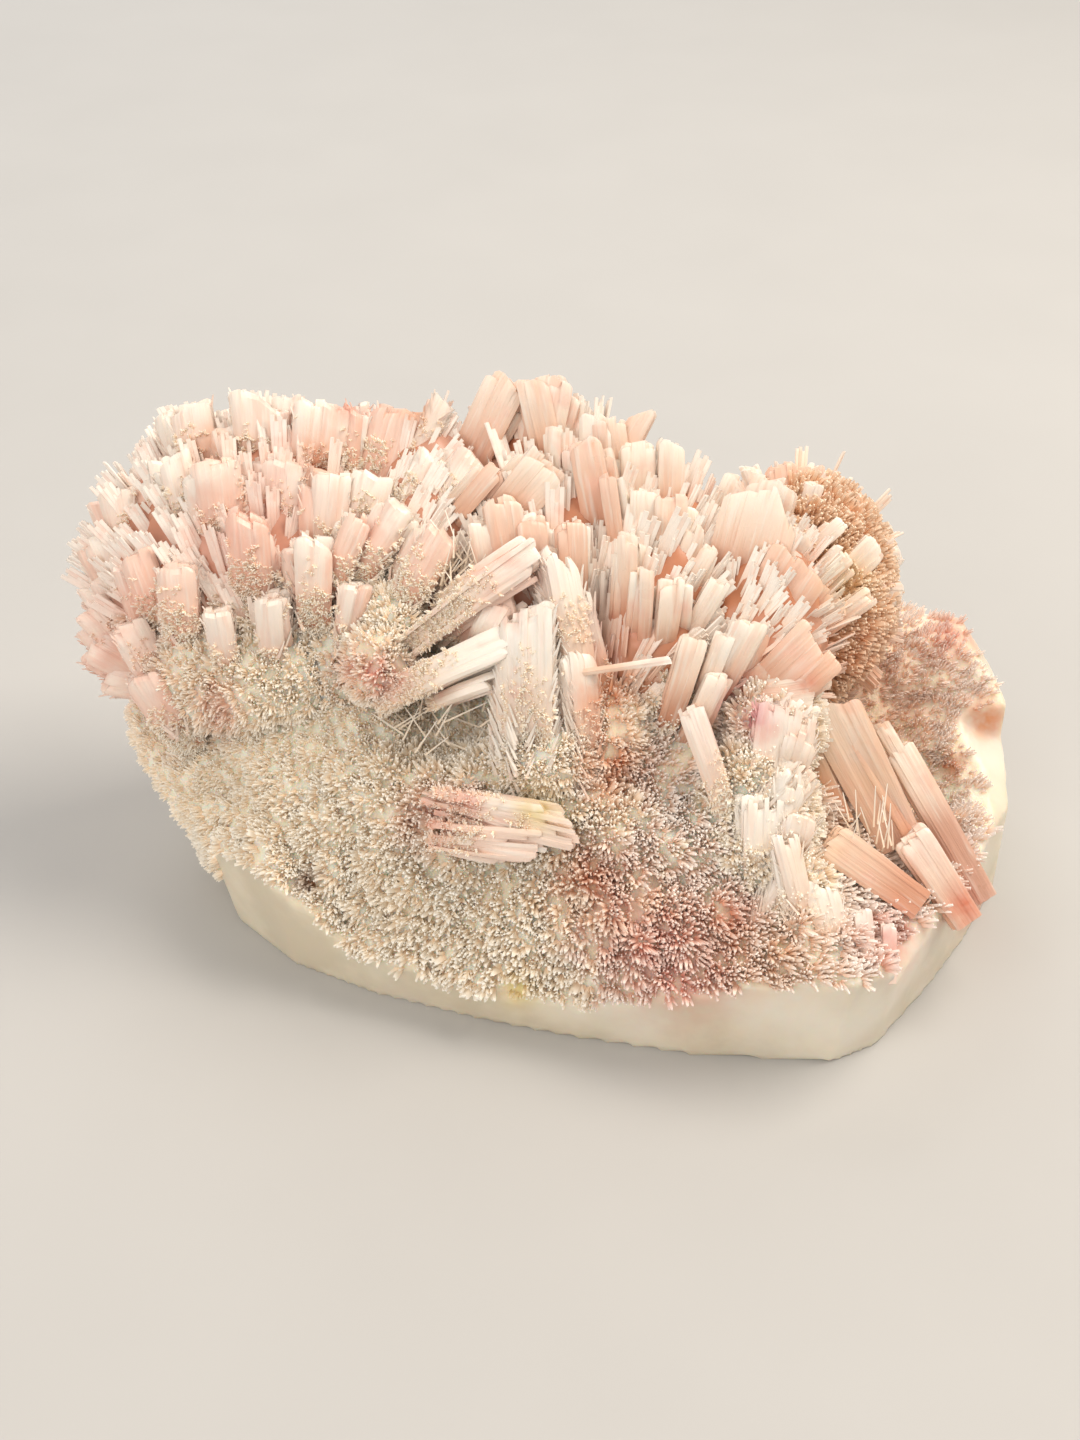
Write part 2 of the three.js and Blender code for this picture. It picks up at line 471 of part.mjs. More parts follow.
const splinter = {
  crystals: [
    crystal([6.8, -16.4, 17.5], { lean: -13, toward: 6, long: 19, wide: 4.6, thick: 2.4, drop: [1.6, 0.8], turn: 12 }),
    crystal([2, -17.6, 17.2], { lean: -5, toward: 6, long: 14, wide: 4.6, thick: 2.4, drop: [1, 2], turn: 12 }),
  ],
};

const whiteRidge = {
  crystals: [
    crystal([34.6, 4.4, 14.5], { lean: 82, toward: 12, long: 22, wide: 8.6, thick: 6, drop: [1.2, 2.4] }),
    crystal([32, -8, 15.5], { lean: 88, toward: 6, long: 16, wide: 8, thick: 6, drop: [2, 2] }),
    crystal([33.6, -15, 18], { lean: 104, toward: 4, long: 18, wide: 3.6, thick: 4, drop: [0.6, 1] }),
    crystal([38, -20.4, 17], { lean: 106, toward: 4, long: 16, wide: 5, thick: 4, drop: [0.6, 3] }),
  ],
};

const single = (tip, shape) => ({ crystals: [crystal(tip, shape)] });

const smear = single([20.4, 3, 16.5], { lean: 110, toward: 4, long: 20, wide: 3.8, thick: 3, drop: [0.8, 0.8] });
const hollowWide = single([39.6, 4, 9], {
  lean: 118, toward: 8, long: 24, wide: 8, thick: 2, drop: [0.4, 3], turn: -12,
});
const hollowLong = {
  crystals: [
    crystal([47.2, 0.2, 5], { lean: 120, toward: 2, long: 29, wide: 2.4, thick: 3.4, drop: [0.5, 0.5], turn: 0 }),
    crystal([49.6, -3, 5], { lean: 120, toward: 2, long: 25, wide: 4.6, thick: 3.4, drop: [0.5, 0.5], turn: 0 }),
  ],
};
const hollowLow = single([39.6, -16.4, 14], { lean: 145, toward: 8, long: 16, wide: 5.4, thick: 4, drop: [0.3, 0.6] });
const hollowRim = single([51, -15, 10], { lean: 124, toward: 6, long: 15.5, wide: 5.4, thick: 4, drop: [0.6, 0.6] });
const prismLeft = single([42.8, -27.6, 18], { lean: 94, toward: 6, long: 8, wide: 1.6, thick: 2.2, turn: 0 });
const prismMiddle = single([44.8, -24, 17.5], {
  lean: 96, toward: 6, long: 12, wide: 2.6, thick: 2.4, drop: [2, 2], turn: 0,
});
const prismRight = single([48.7, -27.3, 17], { lean: 92, toward: 6, long: 9, wide: 2, thick: 2.2, turn: 0 });

// Each spray is cut by all that grew before it.
const SPRAYS = [
  ['crown_spray', crown, PINK_STILBITE],
  ['left_lobe', leftLobe, PINK_STILBITE],
  ['plate_fan', plates, PINK_STILBITE],
  ['rear_rosette', rosette, PEACH_STILBITE],
  ['roof_crystals', roof, PALE_STILBITE],
  ['white_ridge', whiteRidge, WHITE_STILBITE],
  ['smear_blade', smear, WHITE_STILBITE],
  ['hollow_blade_wide', hollowWide, PINK_STILBITE],
  ['hollow_blade_long', hollowLong, PALE_STILBITE],
  ['hollow_blade_low', hollowLow, PALE_STILBITE],
  ['hollow_blade_rim', hollowRim, PINK_STILBITE],
  ['white_splinter', splinter, WHITE_STILBITE],
  ['front_prism_left', prismLeft, WHITE_STILBITE],
  ['front_prism_middle', prismMiddle, WHITE_STILBITE],
  ['front_prism_right', prismRight, WHITE_STILBITE],
];

const specimen = new THREE.Group();
specimen.add(meshOf('matrix_stone', stone(0), CREAM_STONE, 0.55));
let grown = stone(GAP);
for (const [name, spray, colour] of SPRAYS) {
  specimen.add(meshOf(name, spraySolid(spray, 0).subtract(grown), colour, 0.45));
  grown = grown.add(spraySolid(spray, GAP));
}

export default specimen;
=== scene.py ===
"""Looks of a hand-sized zeolite specimen: mordenite tufts and stilbite blades on a sawn cream stone.

Shapes are worked out in millimetres, +Z up, with the display side facing -Y, and written into the meshes in
metres. The crystals are the ones of the solid part, each drawn as a few striated plates.
"""
import math

import bmesh
import bpy
import numpy as np
from mathutils import Matrix, Vector, noise
from mathutils.bvhtree import BVHTree


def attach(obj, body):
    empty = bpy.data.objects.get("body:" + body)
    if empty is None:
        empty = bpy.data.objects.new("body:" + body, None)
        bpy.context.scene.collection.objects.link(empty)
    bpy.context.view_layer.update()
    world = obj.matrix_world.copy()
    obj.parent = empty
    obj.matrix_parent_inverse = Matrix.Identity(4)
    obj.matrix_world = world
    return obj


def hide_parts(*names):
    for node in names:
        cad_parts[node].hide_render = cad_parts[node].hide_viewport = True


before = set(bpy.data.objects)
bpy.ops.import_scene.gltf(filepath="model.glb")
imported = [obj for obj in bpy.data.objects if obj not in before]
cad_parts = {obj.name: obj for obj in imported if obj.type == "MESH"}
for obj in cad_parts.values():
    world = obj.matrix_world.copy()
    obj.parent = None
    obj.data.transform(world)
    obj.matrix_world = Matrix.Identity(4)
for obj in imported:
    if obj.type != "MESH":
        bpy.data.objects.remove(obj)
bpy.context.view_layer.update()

MM = 0.001

# The display face, as in the solid part: it leans back by DISPLAY_TILT and is seen from EYE_DISTANCE.
DISPLAY_TILT = math.radians(38)
EYE_DISTANCE = 280
EYE_AIM = np.array([0, 0, 30.0])
ACROSS = np.array([1.0, 0, 0])
UP = np.array([0, math.sin(DISPLAY_TILT), math.cos(DISPLAY_TILT)])
OUT = np.array([0, -math.cos(DISPLAY_TILT), math.sin(DISPLAY_TILT)])

# Natural colours of the dry minerals, sRGB.
CREAM = "E9DFC9"
BONE = "D9CDB6"
MILK = "F4EEE4"
SHELL_PINK = "F0BBA8"
ROSE = "E8978A"
BRICK = "D67D60"
RUST = "E09D72"
APRICOT = "EFC8A2"
HONEY = "E6D08E"
SOOT = "4A3A30"
UMBER = "8C5E3C"
MAGENTA = "DE8E94"


def seen(across, up, out):
    """A place given on the display face as the photograph shows it, and how far out of that face."""
    nearer = 1 - out / EYE_DISTANCE
    return EYE_AIM + ACROSS * across * nearer + UP * up * nearer + OUT * out


def pointing(lean, toward):
    """A direction: lean is its angle from across on the display face, toward how far it turns to the eye."""
    a, t = math.radians(lean), math.radians(toward)
    return ACROSS * math.cos(a) * math.cos(t) + UP * math.sin(a) * math.cos(t) + OUT * math.sin(t)


def chance(thing, use):
    """A number from 0 to 1 that looks random, but is the same each time for the same thing and use."""
    wave = math.sin(thing * 12.9898 + use * 78.233) * 43758.5453
    return wave - math.floor(wave)


def unit(v):
    return v / np.linalg.norm(v)


def turned(v, axis, degrees):
    return np.array(Matrix.Rotation(math.radians(degrees), 3, Vector(axis)) @ Vector(v))


def crystal(x, y, out, lean=90, toward=15, long=14, wide=5, thick=3, turn=None, drop=(1, 1), peak=None):
    """One tabular crystal, by its tip: its corners stand lower than the tip by their drops."""
    if turn is None:
        turn = 14 * (2 * chance(x * 3.7 + y, 13) - 1)
    return dict(
        tip=seen(x, y, out), lean=lean, toward=toward, long=long, wide=wide, thick=thick, turn=turn,
        drop=drop, peak=peak,
    )


def blocky(*tip, **shape):
    """A thick, short crystal, as in the lobe."""
    return crystal(*tip, **{"thick": 4, "toward": 12, "long": 13, **shape})


def fan(count, seed, middle, radii, angles, out, toward, long, wide, thick):
    """Like crystals whose tips stand on an arc of the display face, from one angle to another."""
    made = []
    for i in range(count):
        def stray(use, size):
            return size * (2 * chance(seed + i, use) - 1)
        angle = angles[0] + (angles[1] - angles[0]) * i / (count - 1) + stray(9, 3)
        round_ = math.radians(angle)
        x = middle[0] + (radii[0] + stray(6, 0.8)) * math.cos(round_)
        y = middle[1] + (radii[1] + stray(7, 0.8)) * math.sin(round_)
        drop = (0.4 + 2 * chance(seed + i, 11), 0.4 + 2 * chance(seed + i, 12))
        made.append(crystal(
            x, y, out + stray(8, 1), lean=angle, toward=toward + stray(10, 5), long=long,
            wide=wide * (0.8 + 0.4 * chance(seed + i, 14)), thick=thick, drop=drop,
        ))
    return made


LEFT_LOBE = [
    blocky(-49.4, 45.6, 3, lean=100, wide=5.6, drop=(1.6, 0.6)),
    blocky(-39.8, 47.2, 4, lean=93, wide=7.4, drop=(0.4, 4), peak=0.2),
    blocky(-30.6, 45.6, 4, lean=82, wide=7.4, drop=(0.3, 1.4), peak=0.1),
    blocky(-25.8, 45.4, 3, lean=84, wide=2.4, drop=(0.4, 2)),
    crystal(-23.4, 44, 3, lean=76, long=14, wide=1.4, thick=1.4),
    blocky(-18.8, 44, 3, lean=74, long=20, wide=8.2, drop=(0.2, 0.2)),
    crystal(-12.8, 46, 6, lean=62, toward=14, long=24, wide=3.2, thick=2.2, drop=(0.4, 1.6)),
    blocky(-44.2, 43.4, 3, lean=96, wide=5, drop=(2, 1)),
    blocky(-54, 36.8, 3, lean=108, wide=5, drop=(3, 0.6), peak=0.8),
    blocky(-59.4, 33.2, 2, lean=104, wide=5, drop=(0.6, 0.4)),
    crystal(-62.6, 27, 2, lean=116, wide=4.4, thick=3.4, drop=(1.4, 0.4)),
    crystal(-62.6, 22, 1, lean=124, wide=4, thick=3.4, drop=(1.4, 0.8)),
    crystal(-64.2, 17, 2, lean=134, wide=5, thick=4, drop=(1, 1)),
    crystal(-64.4, 11.4, 2, lean=150, wide=5.4, thick=4, drop=(1, 2)),
    crystal(-62.4, 6.4, 1, lean=168, wide=4.6, thick=4, drop=(1, 2)),
    blocky(-51.6, 38.5, 7, lean=103, wide=4.2, drop=(2, 0.6)),
    blocky(-46, 37.6, 10, lean=96, toward=16, wide=6.2, drop=(0.8, 0.8)),
    blocky(-35.4, 38, 8, lean=90, wide=5.6, drop=(1, 1.6)),
    blocky(-28.8, 36, 9, lean=84, wide=5, drop=(1.4, 0.8)),
    blocky(-22.6, 36, 8, lean=76, wide=5.6, drop=(1, 1)),
    blocky(-41.2, 30, 13, lean=93, toward=18, wide=5.4, drop=(0.4, 1.6), peak=0.2),
    blocky(-32, 26.2, 14, lean=88, toward=20, wide=5, drop=(0.6, 1.6), peak=0.3),
    blocky(-24.6, 29.5, 12, lean=66, wide=3.4, drop=(0.4, 0.8)),
    blocky(-50.8, 23.2, 12, lean=92, toward=18, wide=4.6, drop=(0.6, 1.4)),
    blocky(-57.2, 25, 8, lean=108, wide=4.4, drop=(1.6, 0.8)),
    blocky(-58.6, 15, 8, lean=116, toward=18, wide=5, drop=(1.4, 1)),
    blocky(-56.6, 8, 8, lean=120, toward=20, long=11, wide=4.6, drop=(1, 1.2)),
    blocky(-45.6, 17, 13, lean=98, toward=24, long=10, wide=3.6, drop=(1.2, 1.2)),
    blocky(-38, 18.6, 14, lean=90, toward=26, long=10, wide=3.4, drop=(1, 1.4)),
    blocky(-26, 21, 13, lean=80, toward=22, long=10, wide=3.4, drop=(1.4, 1)),
    crystal(-8.4, 37.6, 9, lean=58, toward=12, long=20, wide=5, thick=3, drop=(0.4, 1.4)),
    crystal(-14.4, 38, 8, lean=62, toward=12, long=18, wide=4.4, thick=3, drop=(0.6, 1)),
    crystal(-12.8, 27.4, 14, lean=58, toward=12, long=14, wide=5, thick=3, drop=(0.4, 1.4)),
    crystal(-18.6, 31, 12, lean=60, toward=12, wide=3.8, thick=3, drop=(0.6, 1.2)),
    *fan(7, 100, (-38, 20), (24, 24.5), (160, 50), out=-8, toward=-25, long=9, wide=5.6, thick=4),
    *fan(5, 120, (-38, 16), (20, 18), (170, 30), out=-18, toward=-55, long=9, wide=6, thick=4),
]
CROWN = [
    crystal(-3.6, 48.6, 8, lean=63, long=20, wide=6, drop=(0.4, 1.4), peak=0.3),
    crystal(-1.6, 48.4, 9, lean=103, long=18, wide=4.6, drop=(0.2, 1.4)),
    crystal(1.6, 49.2, 8, lean=80, long=18, wide=4.6, drop=(1.8, 0.6), peak=0.7),
    crystal(5.4, 46.4, 7, lean=74, long=14, wide=1.7, thick=1.7),
    crystal(7.6, 43.6, 8, lean=92, long=17, wide=4.6, drop=(0.3, 1.2), peak=0.2),
    crystal(15.1, 43.9, 7, lean=62, long=17, wide=3.2, thick=2, drop=(1.6, 0.2), peak=0.8),
    crystal(13.6, 39.8, 8, lean=91, long=15, wide=5.2, drop=(0.6, 0.3)),
    crystal(18.2, 39.6, 8, lean=89, long=16, wide=4, drop=(0.2, 1.2), peak=0.2),
    crystal(2, 42.2, 11, lean=90, long=14, wide=2.2, thick=2),
    crystal(9.8, 41, 5, lean=86, long=14, wide=4.4, drop=(0.8, 1)),
    crystal(6.2, 39.8, 12, lean=100, long=18, wide=4.8, drop=(1, 0.3), peak=0.7),
    crystal(9.2, 35.6, 13, lean=99, long=15, wide=2.6, thick=2.4),
    crystal(2.4, 37.6, 13, lean=48, long=13, wide=6.4, thick=2.4, drop=(1, 1.6)),
    crystal(-5.2, 36.2, 12, lean=48, long=11, wide=3, thick=2.4),
    crystal(-6, 32, 14, lean=99, long=13, wide=5.2, drop=(0.2, 0.6)),
    crystal(-1.4, 30, 14, lean=96, long=11, wide=4.2, drop=(0.8, 1.4)),
    crystal(-9.4, 29.4, 13, lean=104, long=11, wide=2.4, thick=2.4),
    crystal(4.2, 28.6, 14, lean=92, long=12, wide=4, drop=(1, 0.4)),
    crystal(12.3, 26.8, 16, lean=92, toward=18, long=14, wide=2.8, thick=2.6, drop=(0.3, 0.6)),
    crystal(14.8, 22.6, 17, lean=89, toward=18, long=11, wide=2.2, thick=2.4),
    crystal(18.4, 32.6, 12, lean=88, long=14, wide=4.6, drop=(1, 0.6)),
    crystal(14.6, 33.6, 12, lean=90, long=13, wide=3.8, drop=(0.8, 1)),
    crystal(22.2, 28.8, 12, lean=73, long=13, wide=2.6, thick=2.4),
    crystal(24.6, 25.2, 13, lean=62, long=12, wide=2.4, thick=2.2),
    crystal(26.2, 21.2, 14, lean=60, long=11, wide=3, thick=2.4),
    crystal(18.6, 21, 16, lean=84, toward=18, long=10, wide=3.4, thick=2.6, drop=(1.4, 0.6)),
    crystal(7.6, 17, 15, lean=32, toward=12, long=9, wide=2.4, thick=2.2, drop=(0.3, 0.6)),
    *fan(6, 140, (5, 18), (20, 25), (120, 35), out=-5, toward=-20, long=9, wide=5, thick=3),
    *fan(6, 160, (5, 16), (17, 17), (155, 15), out=-14, toward=-55, long=8, wide=5, thick=3),
]
PLATES = [
    crystal(33.6, 34.4, 8, lean=72, long=16, wide=7, thick=2.2, drop=(2, 1.2), peak=0.6),
    crystal(29.2, 31.6, 8, lean=82, long=14, wide=7, thick=2.2, drop=(1.6, 0.4)),
    crystal(36.6, 28.4, 9, lean=60, long=13, wide=6.4, thick=2.2, drop=(0.4, 2)),
    crystal(38.4, 22.6, 10, lean=48, long=12, wide=6.8, thick=2.2, drop=(0.4, 2)),
    crystal(36, 16.6, 11, lean=36, long=10, wide=5.6, thick=2.2, drop=(0.6, 1.6)),
    crystal(27.6, 35.6, 7, lean=64, long=12, wide=2.3, thick=1.8),
    crystal(40.6, 19.6, 9, lean=52, long=12, wide=4.2, thick=2, drop=(0.6, 1.4)),
    crystal(40.8, 9.6, 14, lean=34, toward=12, long=12, wide=8.4, thick=2.6, drop=(1.2, 2)),
    crystal(40.2, 4.4, 14, lean=8, toward=10, long=10, wide=5.2, thick=2.6, drop=(0.6, 2)),
    crystal(30.6, 15, 15.5, lean=64, toward=14, long=11, wide=4.6, thick=2.6, drop=(1.2, 0.6)),
    crystal(26.6, 13.4, 15.5, lean=70, toward=16, long=10, wide=3, thick=2.4),
    crystal(22, 12.8, 15.5, lean=74, toward=16, long=12, wide=3.8, thick=2.8, drop=(0.8, 0.6)),
    crystal(25.6, 7.6, 16, lean=66, toward=14, long=9, wide=3, thick=2.4),
    *fan(4, 200, (31, 14), (10, 17), (110, 20), out=-4, toward=-35, long=10, wide=6, thick=3),
]
PETALS = [
    crystal(32.4, 32.6, 12.6, lean=75, toward=10, long=24, wide=11.5, thick=1.4, drop=(2.4, 5), peak=0.62),
    crystal(38, 24, 13.2, lean=58, toward=12, long=18, wide=9, thick=1.3, drop=(1, 3)),
    crystal(41.6, 12, 15.4, lean=44, toward=10, long=16, wide=9, thick=1.6, drop=(1.4, 2.4)),
]
ROSETTE = [
    *fan(12, 220, (34.6, 18.6), (16.8, 19), (134, -14), out=-7, toward=0, long=6.5, wide=3.6, thick=3.6),
    *fan(5, 240, (34.6, 18.4), (14.6, 16), (100, 0), out=-3, toward=10, long=6, wide=3.4, thick=3),
    crystal(43.4, 28.6, 1, lean=42, toward=6, long=12, wide=2.4, thick=2.2),
    crystal(48, 25.4, 0, lean=44, toward=6, long=14, wide=4.4, thick=2.4, drop=(0.4, 1)),
    crystal(43.6, 24.2, 2, lean=46, toward=8, long=10, wide=4, thick=3, drop=(0.6, 0.6)),
    crystal(47.4, 18.4, 2, lean=36, toward=6, long=12, wide=3, thick=2.6),
    crystal(43.4, 17.2, 4, lean=36, toward=6, long=10, wide=3.2, thick=2.6),
    *fan(5, 260, (35, 17), (13, 14), (145, 0), out=-15, toward=-45, long=7, wide=5, thick=3),
]
ROOF = [
    crystal(1, 24.4, 17.5, lean=35, toward=4, long=26, wide=4.4, thick=4, drop=(0.4, 1.6)),
    crystal(-3.6, 11.6, 17, lean=24, toward=6, long=22, wide=4.6, thick=3.4, drop=(0.2, 0.4)),
    crystal(-4.4, 6.4, 15.5, lean=20, toward=6, long=13, wide=2.6, thick=2.6),
    crystal(-5, 17.6, 16, lean=62, toward=8, long=10, wide=4.2, thick=2.6),
    crystal(-1.4, 19, 15.5, lean=35, toward=4, long=15, wide=4.6, thick=1.8, drop=(0.4, 1.6)),
]
SLAB = [
    crystal(-1.2, 17, 17.6, lean=91, toward=9, long=30, wide=7, thick=5, drop=(1.6, 0), turn=-12),
    crystal(
        1.8, 24.6, 16.4, lean=101, toward=9, long=37, wide=5, thick=4.6, drop=(0.6, 2.6), peak=0.3, turn=26,
    ),
    crystal(5.2, 12, 15.4, lean=94, toward=9, long=25, wide=4.4, thick=4, drop=(0.6, 3), turn=30),
]
SPLINTER = [
    crystal(6.8, -16.4, 17.5, lean=-13, toward=6, long=19, wide=4.6, thick=2.4, drop=(1.6, 0.8), turn=12),
    crystal(2, -17.6, 17.2, lean=-5, toward=6, long=14, wide=4.6, thick=2.4, drop=(1, 2), turn=12),
]
WHITE_RIDGE = [
    *[crystal(
        37.6 - 0.05 * k + 1.4 * chance(k, 41), 4.6 - 2.2 * k, 14.6 + 0.25 * k, lean=34 + 30 * chance(k, 42),
        toward=8, long=9 + 3 * chance(k, 43), wide=3.4 + 2 * chance(k, 44), thick=0.8 + 0.6 * chance(k, 45),
        drop=(0.8, 1.6),
    ) for k in range(13)],
    crystal(37.4, 0.4, 16, lean=74, toward=10, long=9, wide=4.6, thick=2.6, drop=(1.2, 2.4)),
    crystal(36.4, -6.4, 17.6, lean=70, toward=10, long=9, wide=4.4, thick=2.6, drop=(1.2, 1)),
    crystal(37, -11.6, 18, lean=78, toward=10, long=9, wide=4, thick=2.4, drop=(0.8, 1.4)),
    crystal(34.6, 4.4, 14.5, lean=82, toward=12, long=22, wide=8.6, thick=6, drop=(1.2, 2.4)),
    crystal(32, -8, 15.5, lean=88, toward=6, long=16, wide=8, thick=6, drop=(2, 2)),
    crystal(33.6, -15, 18, lean=104, toward=4, long=18, wide=3.6, thick=4, drop=(0.6, 1)),
    crystal(38, -20.4, 17, lean=106, toward=4, long=16, wide=5, thick=4, drop=(0.6, 3)),
]
SMEAR = [crystal(20.4, 3, 16.5, lean=110, toward=4, long=20, wide=3.8, thick=3, drop=(0.8, 0.8))]
HOLLOW_WIDE = [crystal(39.6, 4, 9, lean=118, toward=8, long=24, wide=8, thick=2, drop=(0.4, 3), turn=-12)]
HOLLOW_LONG = [
    crystal(47.2, 0.2, 5, lean=120, toward=2, long=29, wide=2.4, thick=3.4, drop=(0.5, 0.5), turn=0),
    crystal(49.6, -3, 5, lean=120, toward=2, long=25, wide=4.6, thick=3.4, drop=(0.5, 0.5), turn=0),
]
HOLLOW_LOW = [crystal(39.6, -16.4, 14, lean=145, toward=8, long=16, wide=5.4, thick=4, drop=(0.3, 0.6))]
HOLLOW_RIM = [crystal(51, -15, 10, lean=124, toward=6, long=15.5, wide=5.4, thick=4, drop=(0.6, 0.6))]
PRISM_LEFT = [crystal(42.8, -27.6, 18, lean=94, toward=6, long=8, wide=1.6, thick=2.2, turn=0)]
PRISM_MIDDLE = [
    crystal(44.8, -24, 17.5, lean=96, toward=6, long=12, wide=2.6, thick=2.4, drop=(2, 2), turn=0),
]
PRISM_RIGHT = [crystal(48.7, -27.3, 17, lean=92, toward=6, long=9, wide=2, thick=2.2, turn=0)]

# The lumpy masses that the sprays grow from: middle on the display face, radii across, up and out.
LOBE_MASSES = [((-38.5, 20, -5), (23.5, 21, 14.5)), ((-15, 26, 0), (8, 15, 9.6))]
CROWN_MASSES = [((1, 21, 0), (15, 20, 11.5)), ((16, 16, 2), (11, 17, 11))]
PLATE_MASSES = [((31, 13, 4), (9, 14, 9.5))]
ROSETTE_MASSES = [((36.5, 18.5, -8), (12.5, 15.5, 8.5))]

# Felted mounds that bury the feet of the crystals, in the same terms.
MOUNDS = [
    ((-41, 7, 3), (15, 8.5, 7.5)), ((-29, 9, 3), (7, 8, 6)), ((1, -5, 10.5), (7, 6, 5)),
    ((20, 4, 5), (8, 7, 6)), ((9, -2, 8), (6, 7, 5)), ((-22.5, 8.5, 9), (5, 5.5, 5.5)),
    ((-21, 14, 8), (4.5, 5, 5)),
]
RIDGE_MOUNDS = [
    ((32.6, -1, 9), (6, 7, 5.6)), ((30.6, -9, 10.5), (6.4, 7, 5)), ((34, -14, 12), (4, 7, 5)),
    ((31, -19, 12), (5.6, 6, 4.4)), ((36, -24, 13.5), (4.6, 6, 4.4)), ((27, -14, 10), (5, 8, 4)),
]

# Stains of iron oxide: across and up on the display face, radius, colour, strength.
STAINS = [
    (-60.6, 10.5, 9, SHELL_PINK, 0.55), (-42, 25, 7, SHELL_PINK, 0.5), (-46, 38.2, 3, RUST, 0.5),
    (-27.3, 44.1, 1.6, BRICK, 0.9), (-17, 44, 2.6, RUST, 0.6), (-31.5, 37, 2.4, RUST, 0.6),
    (-36, 33, 4, SHELL_PINK, 0.5), (-21.7, 6.3, 3, ROSE, 0.6), (-26, 7, 3.5, SHELL_PINK, 0.6),
    (-45.5, 3.5, 2.6, BRICK, 0.3), (-45, 0.5, 3, SHELL_PINK, 0.5), (-3.5, 20.5, 5, SHELL_PINK, 0.45),
    (-15.5, -13.5, 4, SHELL_PINK, 0.75), (-10, -11.2, 2, ROSE, 0.5), (9.5, 14, 3.4, BRICK, 0.35),
    (9.5, 4, 4.2, RUST, 0.8), (10.5, -7, 4.6, RUST, 0.85), (6.5, -22, 4.5, RUST, 0.7),
    (13, -29, 8, SHELL_PINK, 0.6), (18, -34, 6, ROSE, 0.35), (26, -30, 6, RUST, 0.4),
    (28, -27, 2.6, BRICK, 0.5), (21, -36, 6, ROSE, 0.3), (33, -33, 6, APRICOT, 0.5),
    (28.5, 0.7, 3.8, MAGENTA, 0.85), (37.5, 4.8, 1.5, BRICK, 0.8), (45, 9.5, 5, RUST, 0.45),
    (50, 3, 7, RUST, 0.35), (57.5, 12, 4, BRICK, 0.5), (62.3, 0.2, 2.6, RUST, 0.9),
    (57.7, -6.5, 1.5, RUST, 0.9), (44, -6, 9, APRICOT, 0.4), (40, -18, 6, APRICOT, 0.4),
    (48.6, -30.6, 4.2, ROSE, 0.6), (59.5, -25.9, 2.8, BRICK, 0.85), (54, -18, 4, BRICK, 0.3),
    (-3, -37.8, 2.2, HONEY, 0.9), (0, -12.6, 2.6, HONEY, 0.9), (43.5, 19.4, 3.6, HONEY, 0.35),
    (-32, -22.6, 1.5, UMBER, 0.95), (9.8, 19.6, 0.6, SOOT, 0.9),
]

# Loose needles: how many, their span across and up on the display face, how far out, and their lean.
NEEDLES = [
    (34, (-15, -8), (17, 23), 12, (40, 130)), (46, (-21, -8), (-5, 6), 9, (20, 160)),
    (16, (43, 50), (-19, -13), 10, (80, 125)), (16, (38, 44), (-26, -16), 11, (60, 110)),
]
CROSS_BAR = [crystal(19.8, 8.6, 17.5, lean=8, toward=6, long=14, wide=1.2, thick=1.1)]


class Growth:
    """Corners, faces and the values kept on each corner of a piece that is being put together."""

    def __init__(self, seed):
        self.random = np.random.default_rng(seed)
        self.places, self.faces = [], []
        self.tones, self.reaches, self.grains = [], [], []
        self.count = 0

    def add(self, places, faces, tone, reach, grain):
        self.places.append(places)
        self.faces += [[self.count + k for k in face] for face in faces]
        self.tones.append(np.full(len(places), tone))
        self.reaches.append(reach)
        self.grains.append(grain)
        self.count += len(places)


def ring_faces(sides, rows):
    """Quads between the rows of a closed prism, and its two end faces."""
    faces = [list(range(sides))[::-1], [(rows - 1) * sides + k for k in range(sides)]]
    for row in range(rows - 1):
        for k in range(sides):
            a, b = row * sides + k, row * sides + (k + 1) % sides
            faces.append([a, b, b + sides, a + sides])
    return faces


# Sections of a flat lath and of a needle, one unit broad, and how broad they are at the foot and the tip.
FLAT_SECTION = np.array([[0.5, 0], [0.36, 0.22], [-0.36, 0.22], [-0.5, 0], [-0.36, -0.22], [0.36, -0.22]])
FLAT_ROWS = np.array([0, 1])
FLAT_WIDTHS = np.array([0.8, 0.95])
NEEDLE_SECTION = np.array([[0.55, 0], [-0.27, 0.48], [-0.27, -0.48]])
NEEDLE_ROWS = np.array([0, 1])
NEEDLE_WIDTHS = np.array([1.1, 0.45])
NEEDLE = (NEEDLE_SECTION, NEEDLE_ROWS, NEEDLE_WIDTHS, ring_faces(len(NEEDLE_SECTION), len(NEEDLE_ROWS)))
FLAT = (FLAT_SECTION, FLAT_ROWS, FLAT_WIDTHS, ring_faces(len(FLAT_SECTION), len(FLAT_ROWS)))


def lath(growth, foot, tip, side, face, wide, tone, kind=NEEDLE, low=0.0):
    """One small prism from foot to tip. low is the reach of its foot, from 0 at the root to 1 at the tip."""
    section, rows, widths, faces = kind
    spine = foot + np.outer(rows, tip - foot)
    spread = widths[:, None, None] * wide * (
        section[None, :, :1] * side[None, None, :] + section[None, :, 1:] * face[None, None, :]
    )
    places = (spine[:, None, :] + spread).reshape(-1, 3)
    reach = np.repeat(low + (1 - low) * rows, len(section))
    own = growth.random.uniform(0, 50)
    grain = np.stack([
        own + np.tile(section[:, 0] * wide, len(rows)),
        own + np.tile(section[:, 1] * wide, len(rows)),
        np.repeat(rows * np.linalg.norm(tip - foot), len(section)),
    ], 1)
    growth.add(places, faces, tone, reach, grain)


def axes_of(one):
    """The directions along a crystal, across its breadth and out of its broad face."""
    along = pointing(one["lean"], one["toward"])
    side = turned(unit(np.cross(along, OUT)), along, one["turn"])
    return along, side, np.cross(side, along)


